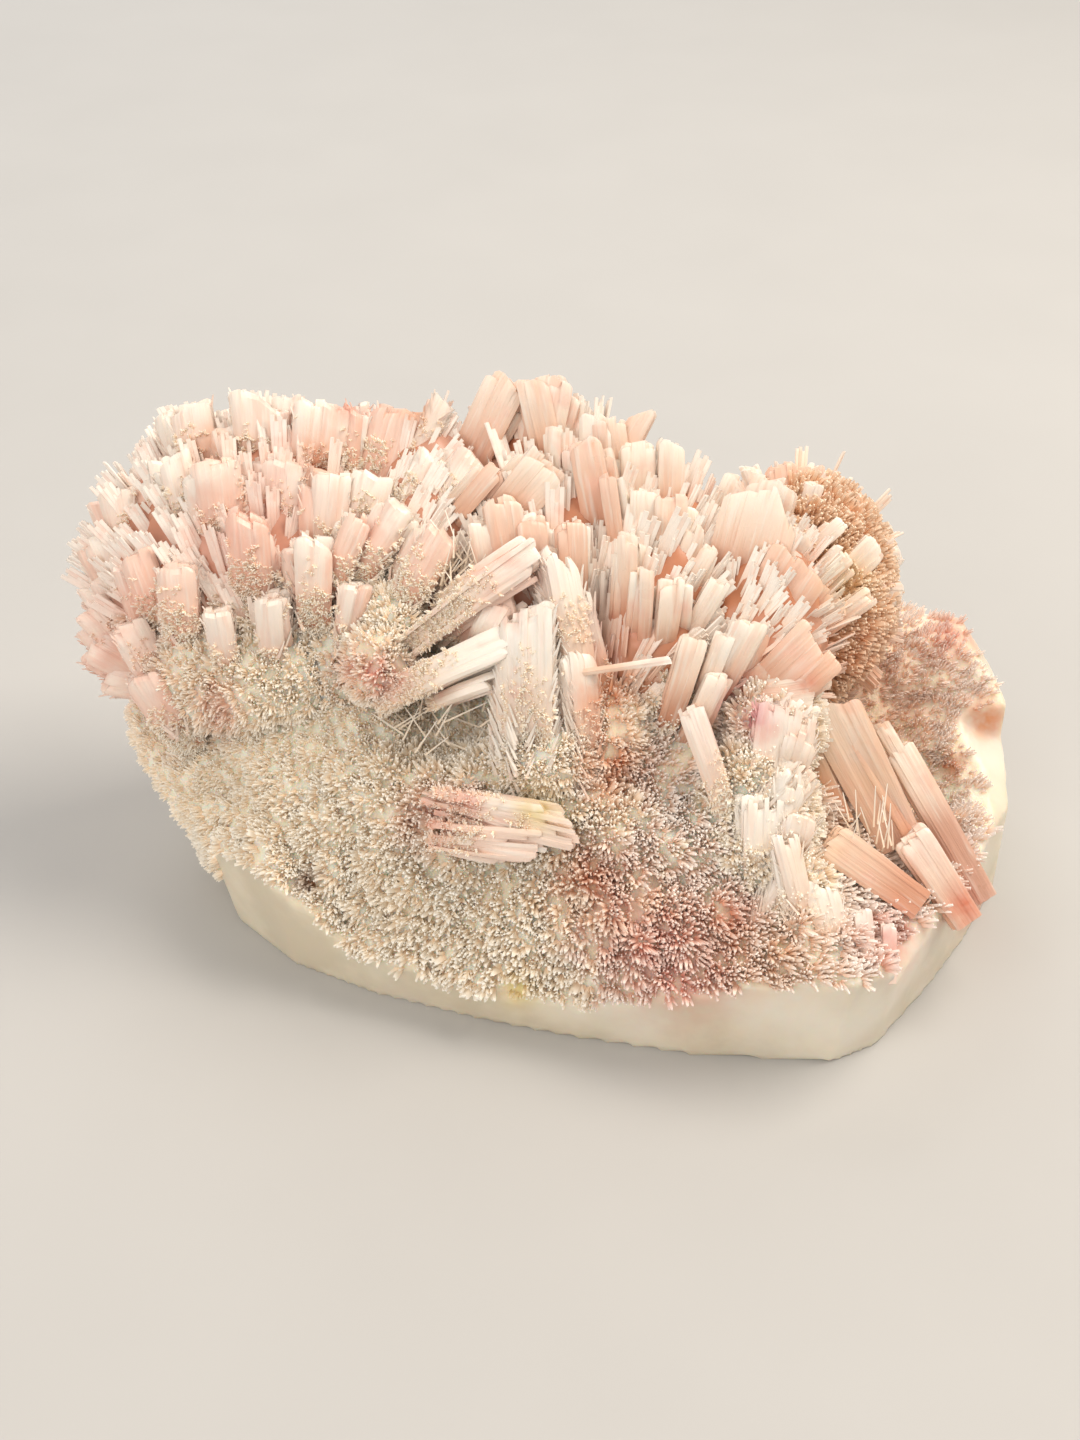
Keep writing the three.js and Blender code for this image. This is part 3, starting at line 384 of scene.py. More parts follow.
def end_heights(one, shares):
    """How far below the tip a crystal ends, at shares of its breadth."""
    drop = one["drop"]
    if one["peak"] is None:
        return np.interp(shares, [0, 1], [-drop[0], -drop[1]])
    return np.interp(shares, [0, one["peak"], 1], [-drop[0], 0, -drop[1]])


def cut_across(random, wide, narrow, broad):
    """Cuts a width into strips of random breadth; returns their edges from 0 to 1."""
    edges = [0.0]
    while edges[-1] < wide:
        edges.append(edges[-1] + random.uniform(narrow, broad))
    return np.array(edges) / edges[-1]


# The rows of a plate from foot to tip, and its thickness and breadth there as shares of the whole.
PLATE_ROWS = np.array([0, 0.18, 0.36, 0.5, 0.68, 0.86, 0.965, 1])
PLATE_THICK = np.array([1, 1, 1, 1, 0.98, 0.92, 0.76, 0.3])
PLATE_WIDE = np.array([0.82, 0.86, 0.9, 0.94, 0.97, 1.0, 1.0, 0.985])
# Breadth of one column of a plate's mesh, and how far below the tip the reach falls to 0, in millimetres.
COLUMN = 0.5
FADE = 15


def plate(growth, one, depth, thick, strips, fray, ridge, roundness, lower, ragged):
    """One striated plate of a crystal. Each strip across it has its own height, so its end steps."""
    along, side, face = axes_of(one)
    random = growth.random
    edges = cut_across(random, one["wide"], *strips)
    across, top, swell, foot = [], [], [], []
    for a, b in zip(edges[:-1], edges[1:]):
        step = lower + fray * random.uniform(0, 1) ** 2
        slope = random.uniform(-0.35, 0.35)
        stand = random.uniform(-1, 1) * ridge
        short = one["long"] * ragged * random.uniform(0, 1)
        inner = max(2, round((b - a) * one["wide"] / COLUMN) + 1)
        for share in np.linspace(a + 0.004, b - 0.004, inner):
            across.append(share)
            top.append(-step + slope * (share - (a + b) / 2) * one["wide"])
            swell.append(stand + random.uniform(-0.4, 0.4) * ridge)
            foot.append(short - one["long"])
    across, top, swell, foot = np.array(across), np.array(top), np.array(swell), np.array(foot)
    shoulder = min(0.45, 0.1 * one["wide"])
    top += end_heights(one, across) - shoulder * np.clip(np.abs(8 * across - 4) - 3, 0, 1) ** 2
    shift = random.uniform(-0.05, 0.05) * one["wide"]
    x = (across - 0.5) * one["wide"] * random.uniform(0.9, 1.0) + shift
    edge = np.abs(2 * across - 1)
    profile = (1 - roundness) * np.where(edge > 0.86, 1 - 2.6 * (edge - 0.86), 1) + roundness * np.sqrt(
        np.clip(1.02 - edge ** 2, 0, 1)
    )
    half = thick / 2 * profile
    rows, count = len(PLATE_ROWS), len(x)
    bow = random.uniform(-0.15, 0.15)
    places = np.empty((2, rows, count, 3))
    reach = np.empty((2, rows, count))
    grain = np.empty((2, rows, count, 3))
    own = random.uniform(0, 60)
    for r, share in enumerate(PLATE_ROWS):
        height = foot + (top - foot) * share
        wave = 1 + 0.015 * random.uniform(-1, 1)
        middle = one["tip"] + np.outer(x * PLATE_WIDE[r] * wave, side) + np.outer(height, along)
        middle = middle + face * (depth + bow * math.sin(math.pi * share))
        middle = middle - OUT * one["dive"] * max(0, 1 - share / 0.6) ** 1.6
        for k, way in ((0, 1), (1, -1)):
            places[k, r] = middle + np.outer(way * half * PLATE_THICK[r] + swell, face)
            reach[k, r] = np.clip(1 + height / FADE, 0, 1)
            grain[k, r] = np.stack([own + x, np.full(count, own + way * thick), height], 1)
    size = rows * count
    faces = []
    for r in range(rows - 1):
        for c in range(count - 1):
            a = r * count + c
            b = a + count
            faces.append([a, a + 1, b + 1, b])
            faces.append([size + a, size + b, size + b + 1, size + a + 1])
    for c in range(count - 1):
        a = (rows - 1) * count + c
        faces.append([a, a + 1, size + a + 1, size + a])
        faces.append([c, size + c, size + c + 1, c + 1])
    for r in range(rows - 1):
        a, b = r * count, (r + 1) * count
        faces.append([a, b, size + b, size + a])
        a, b = a + count - 1, b + count - 1
        faces.append([a, size + a, size + b, b])
    growth.add(places.reshape(-1, 3), faces, growth.tone + random.uniform(-0.12, 0.12), reach.ravel(),
               grain.reshape(-1, 3))


def bundle(growth, one, layer=1.2, strips=(0.6, 1.7), fray=0.9, ridge=0.07, roundness=0.0, stretch=1.0,
           dive=0.0, ragged=0.0, plump=1.0):
    """Draws a crystal as a few striated plates, one behind the other.

    A plate is layer thick and has strips of a random breadth, whose ends step by up to fray. The foot of the
    crystal dives away from the eye, and its strips end ragged there by a share of its length.
    """
    layers = max(1, round(one["thick"] / layer))
    growth.tone = growth.random.uniform(0, 1)
    one = {**one, "long": one["long"] * stretch, "dive": dive}
    one["wide"] *= plump
    one["thick"] *= plump
    for j in range(layers):
        depth = ((j + 0.5) / layers - 0.5) * one["thick"]
        outer = abs(2 * (j + 0.5) / layers - 1)
        lower = outer * growth.random.uniform(0, 0.9)
        thick = one["thick"] / layers * 1.12
        plate(growth, one, depth, thick, strips, fray, ridge, roundness, lower, ragged)


def fringe(growth, one, spacing=0.55, proud=0.55, over=0.8):
    """Fine teeth along both narrow edges of a crystal, like the barbs of a feather."""
    along, side, face = axes_of(one)
    random = growth.random
    half = one["wide"] / 2
    for edge, drop in ((-1, one["drop"][0]), (1, one["drop"][1])):
        for k in range(int(one["long"] * over / spacing)):
            below = k * spacing + random.uniform(0, 0.3)
            shift = face * random.uniform(-0.45, 0.45) * one["thick"]
            narrow = 1 - 0.2 * below / one["long"]
            tip = one["tip"] + side * edge * (half * narrow + proud * random.uniform(0.2, 1)) + shift
            tip = tip - along * (drop + below)
            foot = tip - along * random.uniform(2.2, 3.2) - side * edge * random.uniform(0.9, 1.5)
            lath(growth, foot, tip, side, -face, 0.5, random.uniform(0, 0.5), low=0.5)


def companions(crystals, count, seed, share=(0.22, 0.5)):
    """Smaller crystals that grew against the given ones."""
    random = np.random.default_rng(seed)
    more = []
    for one in crystals:
        along, side, face = axes_of(one)
        for _ in range(count):
            across = random.uniform(-0.62, 0.62) * one["wide"]
            below = random.uniform(0.06, 0.4) * one["long"] * 0.6
            behind = random.uniform(-0.75, 0.3) * one["thick"]
            more.append({
                **one, "tip": one["tip"] + side * across - along * below + face * behind,
                "lean": one["lean"] + random.uniform(-6, 6), "toward": one["toward"] + random.uniform(-5, 7),
                "long": one["long"] * random.uniform(0.6, 0.85), "wide": one["wide"] * random.uniform(*share),
                "thick": max(0.8, one["thick"] * random.uniform(0.3, 0.6)),
                "turn": one["turn"] + random.uniform(-25, 25),
                "drop": (random.uniform(0, 0.9), random.uniform(0, 0.9)), "peak": None,
            })
    return more


def placed(name, data):
    """A new object of the scene."""
    made = bpy.data.objects.new(name, data)
    bpy.context.scene.collection.objects.link(made)
    return made


def per_corner(mesh, **values):
    """Keeps numbers on the corners of a mesh, under a name each."""
    for key, value in values.items():
        part = mesh.attributes.get(key) or mesh.attributes.new(key, "FLOAT", "POINT")
        part.data.foreach_set("value", np.broadcast_to(value, len(mesh.vertices)).astype(np.float32))


def finished(name, growth, crease=38):
    """A mesh object in metres, with the values that its materials read."""
    places = np.concatenate(growth.places)
    mesh = bpy.data.meshes.new(name)
    mesh.from_pydata((places * MM).tolist(), [], growth.faces)
    per_corner(mesh, tone=np.concatenate(growth.tones), reach=np.concatenate(growth.reaches))
    grain = mesh.attributes.new("grain", "FLOAT_VECTOR", "POINT")
    grain.data.foreach_set("vector", np.concatenate(growth.grains).ravel())
    mesh.shade_smooth()
    mesh.set_sharp_from_angle(angle=math.radians(crease))
    return placed(name, mesh)


def places_of(mesh):
    """The corners of a mesh in metres, as millimetres."""
    co = np.empty(len(mesh.vertices) * 3, np.float32)
    mesh.vertices.foreach_get("co", co)
    return co.reshape(-1, 3) / MM


def linear(colour):
    """sRGB hex to linear red, green and blue."""
    parts = [int(colour[k:k + 2], 16) / 255 for k in (0, 2, 4)]
    return [c / 12.92 if c <= 0.04045 else ((c + 0.055) / 1.055) ** 2.4 for c in parts]


def stained(made, share=1.0):
    """Keeps the colour and strength of the iron stains on each corner."""
    places = places_of(made.data) - EYE_AIM
    out = places @ OUT
    nearer = 1 - out / EYE_DISTANCE
    across, up = places @ ACROSS / nearer, places @ UP / nearer
    total = np.zeros(len(places))
    colour = np.zeros((len(places), 3))
    clear = np.ones(len(places))
    for x, y, radius, name, strength in STAINS:
        weight = strength * np.exp(-((across - x) ** 2 + (up - y) ** 2) / radius ** 2)
        total += weight
        colour += weight[:, None] * np.array(linear(name))
        clear *= 1 - weight
    colour /= total[:, None] + 1e-9
    rgba = np.concatenate([colour, (share * (1 - clear))[:, None]], 1)
    layer = made.data.attributes.new("stain", "FLOAT_COLOR", "POINT")
    layer.data.foreach_set("color", rgba.astype(np.float32).ravel())
    return made


def add(tree, kind, inputs=(), **settings):
    """Adds a node. Settings are its own properties; inputs are values, hex colours or links by socket."""
    node = tree.nodes.new(kind)
    for key, value in settings.items():
        setattr(node, key, value)
    for key, value in dict(inputs).items():
        socket = node.inputs[key]
        if isinstance(value, bpy.types.NodeSocket):
            tree.links.new(value, socket)
        elif socket.type == "RGBA":
            socket.default_value = (*linear(value), 1)
        else:
            socket.default_value = value
    return node


SMOOTH = {"interpolation_type": "SMOOTHSTEP"}


def begun(name, kept=(), **noises):
    """A material, its tree, the values that it reads from the mesh, and its noises.

    A noise is given by its scale per metre, its detail and its roughness.
    """
    material = bpy.data.materials.new(name)
    material.use_nodes = True
    tree = material.node_tree
    tree.nodes.clear()
    place = add(tree, "ShaderNodeTexCoord").outputs["Object"]
    values = {key: add(tree, "ShaderNodeAttribute", attribute_name=key).outputs for key in kept}
    drawn = {}
    for key, (scale, detail, rough) in noises.items():
        inputs = {"Vector": place, "Scale": scale, "Detail": detail, "Roughness": rough}
        drawn[key] = add(tree, "ShaderNodeTexNoise", inputs).outputs[0]
    return material, tree, values, drawn


def layered(tree, colour, *layers):
    """Lays colours over one another, each from its least share to its most as a value crosses a range."""
    for value, low, high, least, most, over in layers:
        inputs = {0: value, 1: low, 2: high, 3: least, 4: most}
        share = add(tree, "ShaderNodeMapRange", inputs, **SMOOTH).outputs[0]
        colour = add(tree, "ShaderNodeMix", {0: share, 6: colour, 7: over}, data_type="RGBA").outputs[2]
    return colour


def with_stain(tree, colour, breakup, at_tip=1.0):
    """Lays the iron stain over a colour in the patches of a noise, with only at_tip of it on the tips."""
    stain = add(tree, "ShaderNodeAttribute", attribute_name="stain").outputs
    reach = add(tree, "ShaderNodeAttribute", attribute_name="reach").outputs["Fac"]
    kept = add(tree, "ShaderNodeMapRange", {0: reach, 1: 0.3, 2: 1.0, 3: 1.0, 4: at_tip}, **SMOOTH).outputs[0]
    broken = {0: breakup, 1: 0.3, 2: 0.62, 3: 0.35, 4: 1.25}
    patch = add(tree, "ShaderNodeMapRange", broken, **SMOOTH).outputs[0]
    strength = add(tree, "ShaderNodeMath", {0: stain["Alpha"], 1: kept}, operation="MULTIPLY").outputs[0]
    amount = {0: strength, 1: patch}
    amount = add(tree, "ShaderNodeMath", amount, operation="MULTIPLY", use_clamp=True).outputs[0]
    return add(tree, "ShaderNodeMix", {0: amount, 6: colour, 7: stain["Color"]}, data_type="RGBA").outputs[2]


def shaded(tree, colour, rough, relief, soak, depth, shine=0.5, coat=0.0):
    """The surface. Relief is its bump: strength, distance and height. Soak is the share of light that soaks
    in, and depth how far red light then goes, in millimetres."""
    bump = add(tree, "ShaderNodeBump", dict(zip(("Strength", "Distance", "Height"), relief))).outputs[0]
    shader = add(tree, "ShaderNodeBsdfPrincipled", {
        "Base Color": colour, "Roughness": rough, "Normal": bump, "IOR": 1.5, "Specular IOR Level": shine,
        "Subsurface Weight": soak, "Subsurface Radius": (1.0, 0.62, 0.42), "Subsurface Scale": depth * MM,
        "Coat Weight": coat, "Coat Roughness": 0.3,
    }).outputs[0]
    add(tree, "ShaderNodeOutputMaterial", {"Surface": shader})


def stilbite(name, tip, body, root, deep, soak=0.1):
    """Stilbite, cleaved and grown in sheaves: pearly, fine-grooved along its length, pale at thin tips by its
    own colour and by painted light, and darkened by painted shade toward its roots.
    """
    material, tree, kept, noises = begun(
        name, ("reach", "tone", "grain"), patches=(220, 3, 0.6), clouds=(60, 2, 0.5), blushes=(130, 3, 0.6),
    )
    reach, tone = kept["reach"]["Fac"], kept["tone"]["Fac"]
    # Growth grooves 0.6 mm apart, drawn out 14 times along the blade, and colour streaks 1.4 mm wide.
    for key, fineness, detail in (("grooves", (1.7, 1.7, 0.12), 3), ("streaks", (0.7, 0.7, 0.07), 2)):
        scaled = {0: kept["grain"]["Vector"], 1: fineness}
        drawn = add(tree, "ShaderNodeVectorMath", scaled, operation="MULTIPLY").outputs[0]
        inputs = {"Vector": drawn, "Scale": 1, "Detail": detail, "Roughness": 0.5}
        noises[key] = add(tree, "ShaderNodeTexNoise", inputs).outputs[0]
    # Along reach the colour goes from the tip colour to the root colour: the pale tips are partly painted
    # light, and the darker roots are painted shade in the recesses where the blades grow. The last layer
    # paints the very tips lighter still.
    colour = layered(
        tree, body,
        (reach, 0.45, 0.95, 0, 1, tip),
        (reach, 0.6, 0.1, 0, 1, root),
        (tone, 0.5, 1.0, 0, 0.7, deep),
        (tone, 0.45, 0.0, 0, 0.4, MILK),
        (noises["blushes"], 0.54, 0.68, 0, 0.5, SHELL_PINK),
        (noises["clouds"], 0.55, 0.8, 0, 0.4, MILK),
        (noises["grooves"], 0.5, 0.72, 0, 0.45, MILK),
        (noises["streaks"], 0.52, 0.66, 0, 0.36, deep),
        (reach, 0.93, 1.0, 0, 0.6, MILK),
    )
    colour = with_stain(tree, colour, noises["patches"])
    gloss = {0: noises["patches"], 1: 0.3, 2: 0.7, 3: 0.26, 4: 0.46}
    rough = add(tree, "ShaderNodeMapRange", gloss, **SMOOTH).outputs[0]
    shaded(tree, colour, rough, (0.8, 0.28 * MM, noises["grooves"]), soak, 2.2, coat=0.25)
    return material


def mordenite(name, tip, body, root):
    """Mordenite, a felt of hair-fine needles: matt and milky at the tips, warmer and darker toward their feet
    with painted shade.
    """
    material, tree, kept, noises = begun(name, ("reach", "tone"), patches=(260, 3, 0.6), clouds=(45, 2, 0.5))
    reach, tone = kept["reach"]["Fac"], kept["tone"]["Fac"]
    # Along reach the needles go from the root colour at their feet, painted shade among the tufts, to their
    # own milky white at the tips.
    colour = layered(
        tree, root,
        (reach, 0.0, 0.6, 0, 1, body),
        (reach, 0.5, 1.0, 0, 1, tip),
        (tone, 0.3, 1.0, 0, 0.5, tip),
        (noises["clouds"], 0.5, 0.7, 0, 0.35, body),
    )
    colour = with_stain(tree, colour, noises["patches"], 0.55)
    shaded(tree, colour, 0.55, (0.3, 0.1 * MM, noises["patches"]), 0, 1, shine=0.3)
    return material


def zeolite(name):
    """Massive zeolite: waxy and faintly mottled where it was sawn and rubbed, and a pale felt elsewhere."""
    material, tree, kept, noises = begun(
        name, ("sawn",), mottle=(90, 4, 0.55), fine=(900, 3, 0.6), patches=(240, 3, 0.6), clouds=(38, 2, 0.5),
    )
    sawn = kept["sawn"]["Fac"]
    felt = layered(tree, "FCE9D0", (noises["patches"], 0.35, 0.65, 0, 1, "FFF5E4"))
    face = layered(
        tree, BONE, (noises["mottle"], 0.35, 0.65, 0, 1, CREAM), (noises["clouds"], 0.45, 0.7, 0, 0.7, MILK),
    )
    colour = add(tree, "ShaderNodeMix", {0: sawn, 6: felt, 7: face}, data_type="RGBA").outputs[2]
    colour = with_stain(tree, colour, noises["patches"])
    rough = add(tree, "ShaderNodeMapRange", {0: sawn, 3: 0.62, 4: 0.36}, **SMOOTH).outputs[0]
    deep = add(tree, "ShaderNodeMapRange", {0: sawn, 3: 0.5 * MM, 4: 0.03 * MM}, **SMOOTH).outputs[0]
    height = add(tree, "ShaderNodeMath", {0: noises["fine"], 1: noises["mottle"]}, operation="ADD").outputs[0]
    shaded(tree, colour, rough, (0.7, deep, height), 0.7, 2.5)
    return material


# Blades are pearly and let some light in. The druse of small crystals is the same mineral without that depth.
# The root colour of each material is painted shade, for the feet of blades and needles.
pink_stilbite = stilbite("stilbite_pink_pearly", "FAEEDF", "F3D6C0", "C4805C", "E8B498")
blush_stilbite = stilbite("stilbite_blush_pearly", "F9ECDF", "F3D6C5", "C98A6E", "EBB9A3")
pink_druse = stilbite("stilbite_pink_druse", "FDF4EA", "F6DAC6", "C4805C", "EBBBA0", 0)
blush_druse = stilbite("stilbite_blush_druse", "FDF5EC", "F6DCCD", "CF8F74", "EDBFAC", 0)
amber_mordenite = mordenite("mordenite_crust_amber", "F7E0C8", "EDC6A3", "D9A27A")
peach_druse = stilbite("stilbite_peach_druse", "FAE6D4", "F0C6A8", "C07A52", "E5A788", 0)
white_stilbite = stilbite("stilbite_white_cleaved", "FBF5EC", "F7E9DB", "EED3BE", "F2D0BE")
peach_stilbite = stilbite("stilbite_peach_pearly", "FAEBDD", "F3D2BA", "DFA37F", "EDB99C")
cream_mordenite = mordenite("mordenite_felt_cream", "FFFAF0", "FFF1DC", "FBE3C8")
pink_mordenite = mordenite("mordenite_needles_iron_stained", "FFF8F2", "FCEADC", "F3CFB4")
cream_zeolite = zeolite("zeolite_sawn_waxy")
DRUSES = {pink_stilbite.name: pink_druse, blush_stilbite.name: blush_druse, peach_stilbite.name: peach_druse}


def settled(piece, material, slot, *nodes):
    """Gives a finished piece its material and its body, and hides the solids that it stands for. Its slot is
    not used.
    """
    piece.data.materials.clear()
    piece.data.materials.append(material)
    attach(piece, "root")
    if nodes:
        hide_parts(*nodes)
    return piece


def plain_copy(node):
    """A merged copy of a solid's mesh, to shape further."""
    made = bmesh.new()
    made.from_mesh(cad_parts[node].data)
    bmesh.ops.remove_doubles(made, verts=made.verts, dist=0.01 * MM)
    return made


# Sawn bevels of the stone: a point in millimetres and an outward direction for each.
BEVELS = [
    ((62, -3, 20), (0.5, -0.2, 0.85)),
    ((62, 16, 31.5), (0.7, 0, 0.71)),
    ((51, -29, 14), (0.4, -0.5, 0.77)),
]


def is_sawn(face):
    """True on the stone's walls and bevels. The tufted field looks up everywhere."""
    normal, middle = np.array(face.normal), np.array(face.calc_center_median()) / MM
    if normal[2] < 0.02:
        broken = normal[1] > 0.3 and middle[0] < 50
        return (middle[0] > -46 or middle[2] < 6) and not broken
    for through, facing in BEVELS:
        out = unit(np.array(facing))
        if normal @ out > 0.999 and abs((middle - through) @ out) < 0.1:
            return True
    return False


# How finely the stone is meshed again, in millimetres.
STONE_VOXEL = 0.75


def made_plain(made):
    """Turns what an object's modifiers make of it into its own mesh."""
    graph = bpy.context.evaluated_depsgraph_get()
    mesh = bpy.data.meshes.new_from_object(made.evaluated_get(graph))
    made.modifiers.clear()
    made.data = mesh
    return mesh


def smoothed_values(mesh, values, rounds):
    """Averages a value over neighbouring corners."""
    edges = np.empty(len(mesh.edges) * 2, np.int32)
    mesh.edges.foreach_get("vertices", edges)
    a, b = edges.reshape(-1, 2).T
    count = np.bincount(a, minlength=len(values)) + np.bincount(b, minlength=len(values)) + 1
    for _ in range(rounds):
        total = values.copy()
        np.add.at(total, a, values[b])
        np.add.at(total, b, values[a])
        values = total / count
    return values


def crumpled(place, size, seed):
    """Noise from -1 to 1 at a place in millimetres, for lumps of a size in millimetres."""
    return noise.noise(Vector(place) / size + Vector((seed, seed * 1.7, -seed)))


# Lumps of the stone: their size in millimetres, how far they lift the field, and their seed.
STONE_LUMPS = ((3.4, 0.9, 1), (1.3, 0.35, 2))


def stone_piece():
    """The stone: sawn faces kept flat, the field softened into mounds and roughened."""
    shape = plain_copy("matrix_stone")
    sawn_faces = [is_sawn(face) for face in shape.faces]
    tree = BVHTree.FromBMesh(shape)
    mesh = bpy.data.meshes.new("matrix")
    shape.to_mesh(mesh)
    shape.free()
    made = placed("matrix", mesh)
    remesh = made.modifiers.new("remesh", "REMESH")
    remesh.mode = "VOXEL"
    remesh.voxel_size = STONE_VOXEL * MM
    mesh = made_plain(made)
    sawn = np.zeros(len(mesh.vertices))
    for k, corner in enumerate(mesh.vertices):
        sawn[k] = sawn_faces[tree.find_nearest(corner.co)[2]]
    sawn = smoothed_values(mesh, sawn, 2)
    places = places_of(mesh).astype(float)
    soft = np.stack([smoothed_values(mesh, places[:, k].copy(), 5) for k in range(3)], 1)
    places += (soft - places) * (1 - sawn)[:, None] * 0.8
    normals = np.array([v.normal for v in mesh.vertices])
    for k in range(len(places)):
        rough = 1 - sawn[k]
        lift = 0.04 * crumpled(places[k], 3, 5)
        if rough > 0.02:
            lift += rough * sum(high * crumpled(places[k], size, seed) for size, high, seed in STONE_LUMPS)
        if places[k][2] > 0.6:
            places[k] += normals[k] * lift * min(1, places[k][2] / 4)
    mesh.vertices.foreach_set("co", (places * MM).ravel())
    per_corner(mesh, sawn=sawn)
    mesh.shade_smooth()
    return made


def mass_piece(name, masses, seed):
    """Lumpy masses as one piece, for small crystals or felt to stand on."""
    shape = bmesh.new()
    for middle, radii in masses:
        new = bmesh.ops.create_icosphere(shape, subdivisions=5, radius=1)["verts"]
        for corner in new:
            x, y, z = corner.co
            swell = 1 + 0.07 * noise.noise(corner.co * 4 + Vector((seed, 0, 0)))
            spot = seen(*middle) + (ACROSS * x * radii[0] + UP * y * radii[1] + OUT * z * radii[2]) * swell
            corner.co = Vector(spot) * MM
    mesh = bpy.data.meshes.new(name)
    shape.to_mesh(mesh)
    shape.free()
    mesh.shade_smooth()
    # A low reach gives the masses mostly the root colour of their material: painted shade under the blades.
    per_corner(mesh, reach=0.12, tone=0.6)
    return placed(name, mesh)


def scatter_tree():
    """Geometry Nodes: stands copies of one small shape on a ground, pointing away from a heart."""
    tree = bpy.data.node_groups.new("stand_crystals", "GeometryNodeTree")
    for kind, labels in (
        ("Geometry", ("Ground",)), ("Object", ("Shape",)), ("Int", ("Seed",)),
        ("Vector", ("Heart", "Facing")),
        ("Float", ("Density", "Smallest", "Largest", "Stand", "Away", "Flatten", "Stray", "Sink")),
        ("Material", ("Finish",)),
    ):
        for label in labels:
            tree.interface.new_socket(label, in_out="INPUT", socket_type="NodeSocket" + kind)
    tree.interface.new_socket("Crystals", in_out="OUTPUT", socket_type="NodeSocketGeometry")
    given = add(tree, "NodeGroupInput").outputs
    seed = given["Seed"]

    # Points on the ground, as dense as its corners' room allows.
    room = add(tree, "GeometryNodeInputNamedAttribute", {"Name": "room"}, data_type="FLOAT").outputs[0]
    density = add(tree, "ShaderNodeMath", {0: given["Density"], 1: room}, operation="MULTIPLY").outputs[0]
    points = add(tree, "GeometryNodeDistributePointsOnFaces", {
        "Mesh": given["Ground"], "Density": density, "Seed": seed,
    }).outputs
    normal = points["Normal"]

    # Away from the heart, but flattened onto the display face.
    place = add(tree, "GeometryNodeInputPosition").outputs[0]
    away = add(tree, "ShaderNodeVectorMath", {0: place, 1: given["Heart"]}, operation="SUBTRACT").outputs[0]
    away = add(tree, "ShaderNodeVectorMath", {0: away}, operation="NORMALIZE").outputs[0]
    facing = given["Facing"]
    forward = add(tree, "ShaderNodeVectorMath", {0: away, 1: facing}, operation="DOT_PRODUCT").outputs[1]
    forward = add(tree, "ShaderNodeMath", {0: forward, 1: given["Flatten"]}, operation="MULTIPLY").outputs[0]
    forward = add(tree, "ShaderNodeVectorMath", {0: facing, "Scale": forward}, operation="SCALE").outputs[0]
    away = add(tree, "ShaderNodeVectorMath", {0: away, 1: forward}, operation="SUBTRACT").outputs[0]

    # The way a crystal grows: up from the ground, away from the heart, and a little astray.
    stray = add(tree, "FunctionNodeRandomValue", {
        0: (-1, -1, -1), 1: (1, 1, 1), "Seed": seed,
    }, data_type="FLOAT_VECTOR").outputs[0]
    upright = {0: normal, "Scale": given["Stand"]}
    growth = add(tree, "ShaderNodeVectorMath", upright, operation="SCALE").outputs[0]
    for part, share in ((away, given["Away"]), (stray, given["Stray"])):
        part = add(tree, "ShaderNodeVectorMath", {0: part, "Scale": share}, operation="SCALE").outputs[0]
        growth = add(tree, "ShaderNodeVectorMath", {0: growth, 1: part}, operation="ADD").outputs[0]
    rotation = add(tree, "FunctionNodeAlignRotationToVector", {"Vector": growth}, axis="Z").outputs[0]
    rotation = add(tree, "FunctionNodeAlignRotationToVector", {
        "Rotation": rotation, "Vector": normal,
    }, axis="Y", pivot_axis="Z").outputs[0]
    spin = add(tree, "FunctionNodeRandomValue", {0: (0, 0, -0.7), 1: (0, 0, 0.7)}, data_type="FLOAT_VECTOR")
    spin = add(tree, "FunctionNodeEulerToRotation", {0: spin.outputs[0]}).outputs[0]
    rotation = add(tree, "FunctionNodeRotateRotation", {
        0: rotation, 1: spin,
    }, rotation_space="LOCAL").outputs[0]

    # Its size, and how far its foot is sunk in the ground.
    tall = add(tree, "GeometryNodeInputNamedAttribute", {"Name": "tall"}, data_type="FLOAT").outputs[0]
    size = add(tree, "FunctionNodeRandomValue", {
        2: given["Smallest"], 3: given["Largest"], "Seed": seed,
    }, data_type="FLOAT").outputs[1]
    size = add(tree, "ShaderNodeMath", {0: size, 1: tall}, operation="MULTIPLY").outputs[0]
    down = add(tree, "ShaderNodeVectorMath", {0: growth}, operation="NORMALIZE").outputs[0]
    down = add(tree, "ShaderNodeVectorMath", {0: down, "Scale": given["Sink"]}, operation="SCALE").outputs[0]
    sunk = add(tree, "GeometryNodeSetPosition", {"Geometry": points["Points"], "Offset": down}).outputs[0]
    shape = add(tree, "GeometryNodeObjectInfo", {"Object": given["Shape"]}).outputs["Geometry"]
    copies = add(tree, "GeometryNodeInstanceOnPoints", {
        "Points": sunk, "Instance": shape, "Rotation": rotation, "Scale": size,
    }).outputs[0]
    shade = add(tree, "FunctionNodeRandomValue", {2: 0.0, 3: 1.0, "Seed": 7}, data_type="FLOAT").outputs[1]
    kept = add(tree, "GeometryNodeStoreNamedAttribute", {
        "Geometry": copies, "Name": "tone", "Value": shade,
    }, data_type="FLOAT", domain="INSTANCE").outputs[0]
    real = add(tree, "GeometryNodeRealizeInstances", {"Geometry": kept}).outputs[0]
    done = add(tree, "GeometryNodeSetMaterial", {"Geometry": real, "Material": given["Finish"]}).outputs[0]
    add(tree, "NodeGroupOutput", {"Crystals": done})
    return tree


stand_crystals = scatter_tree()


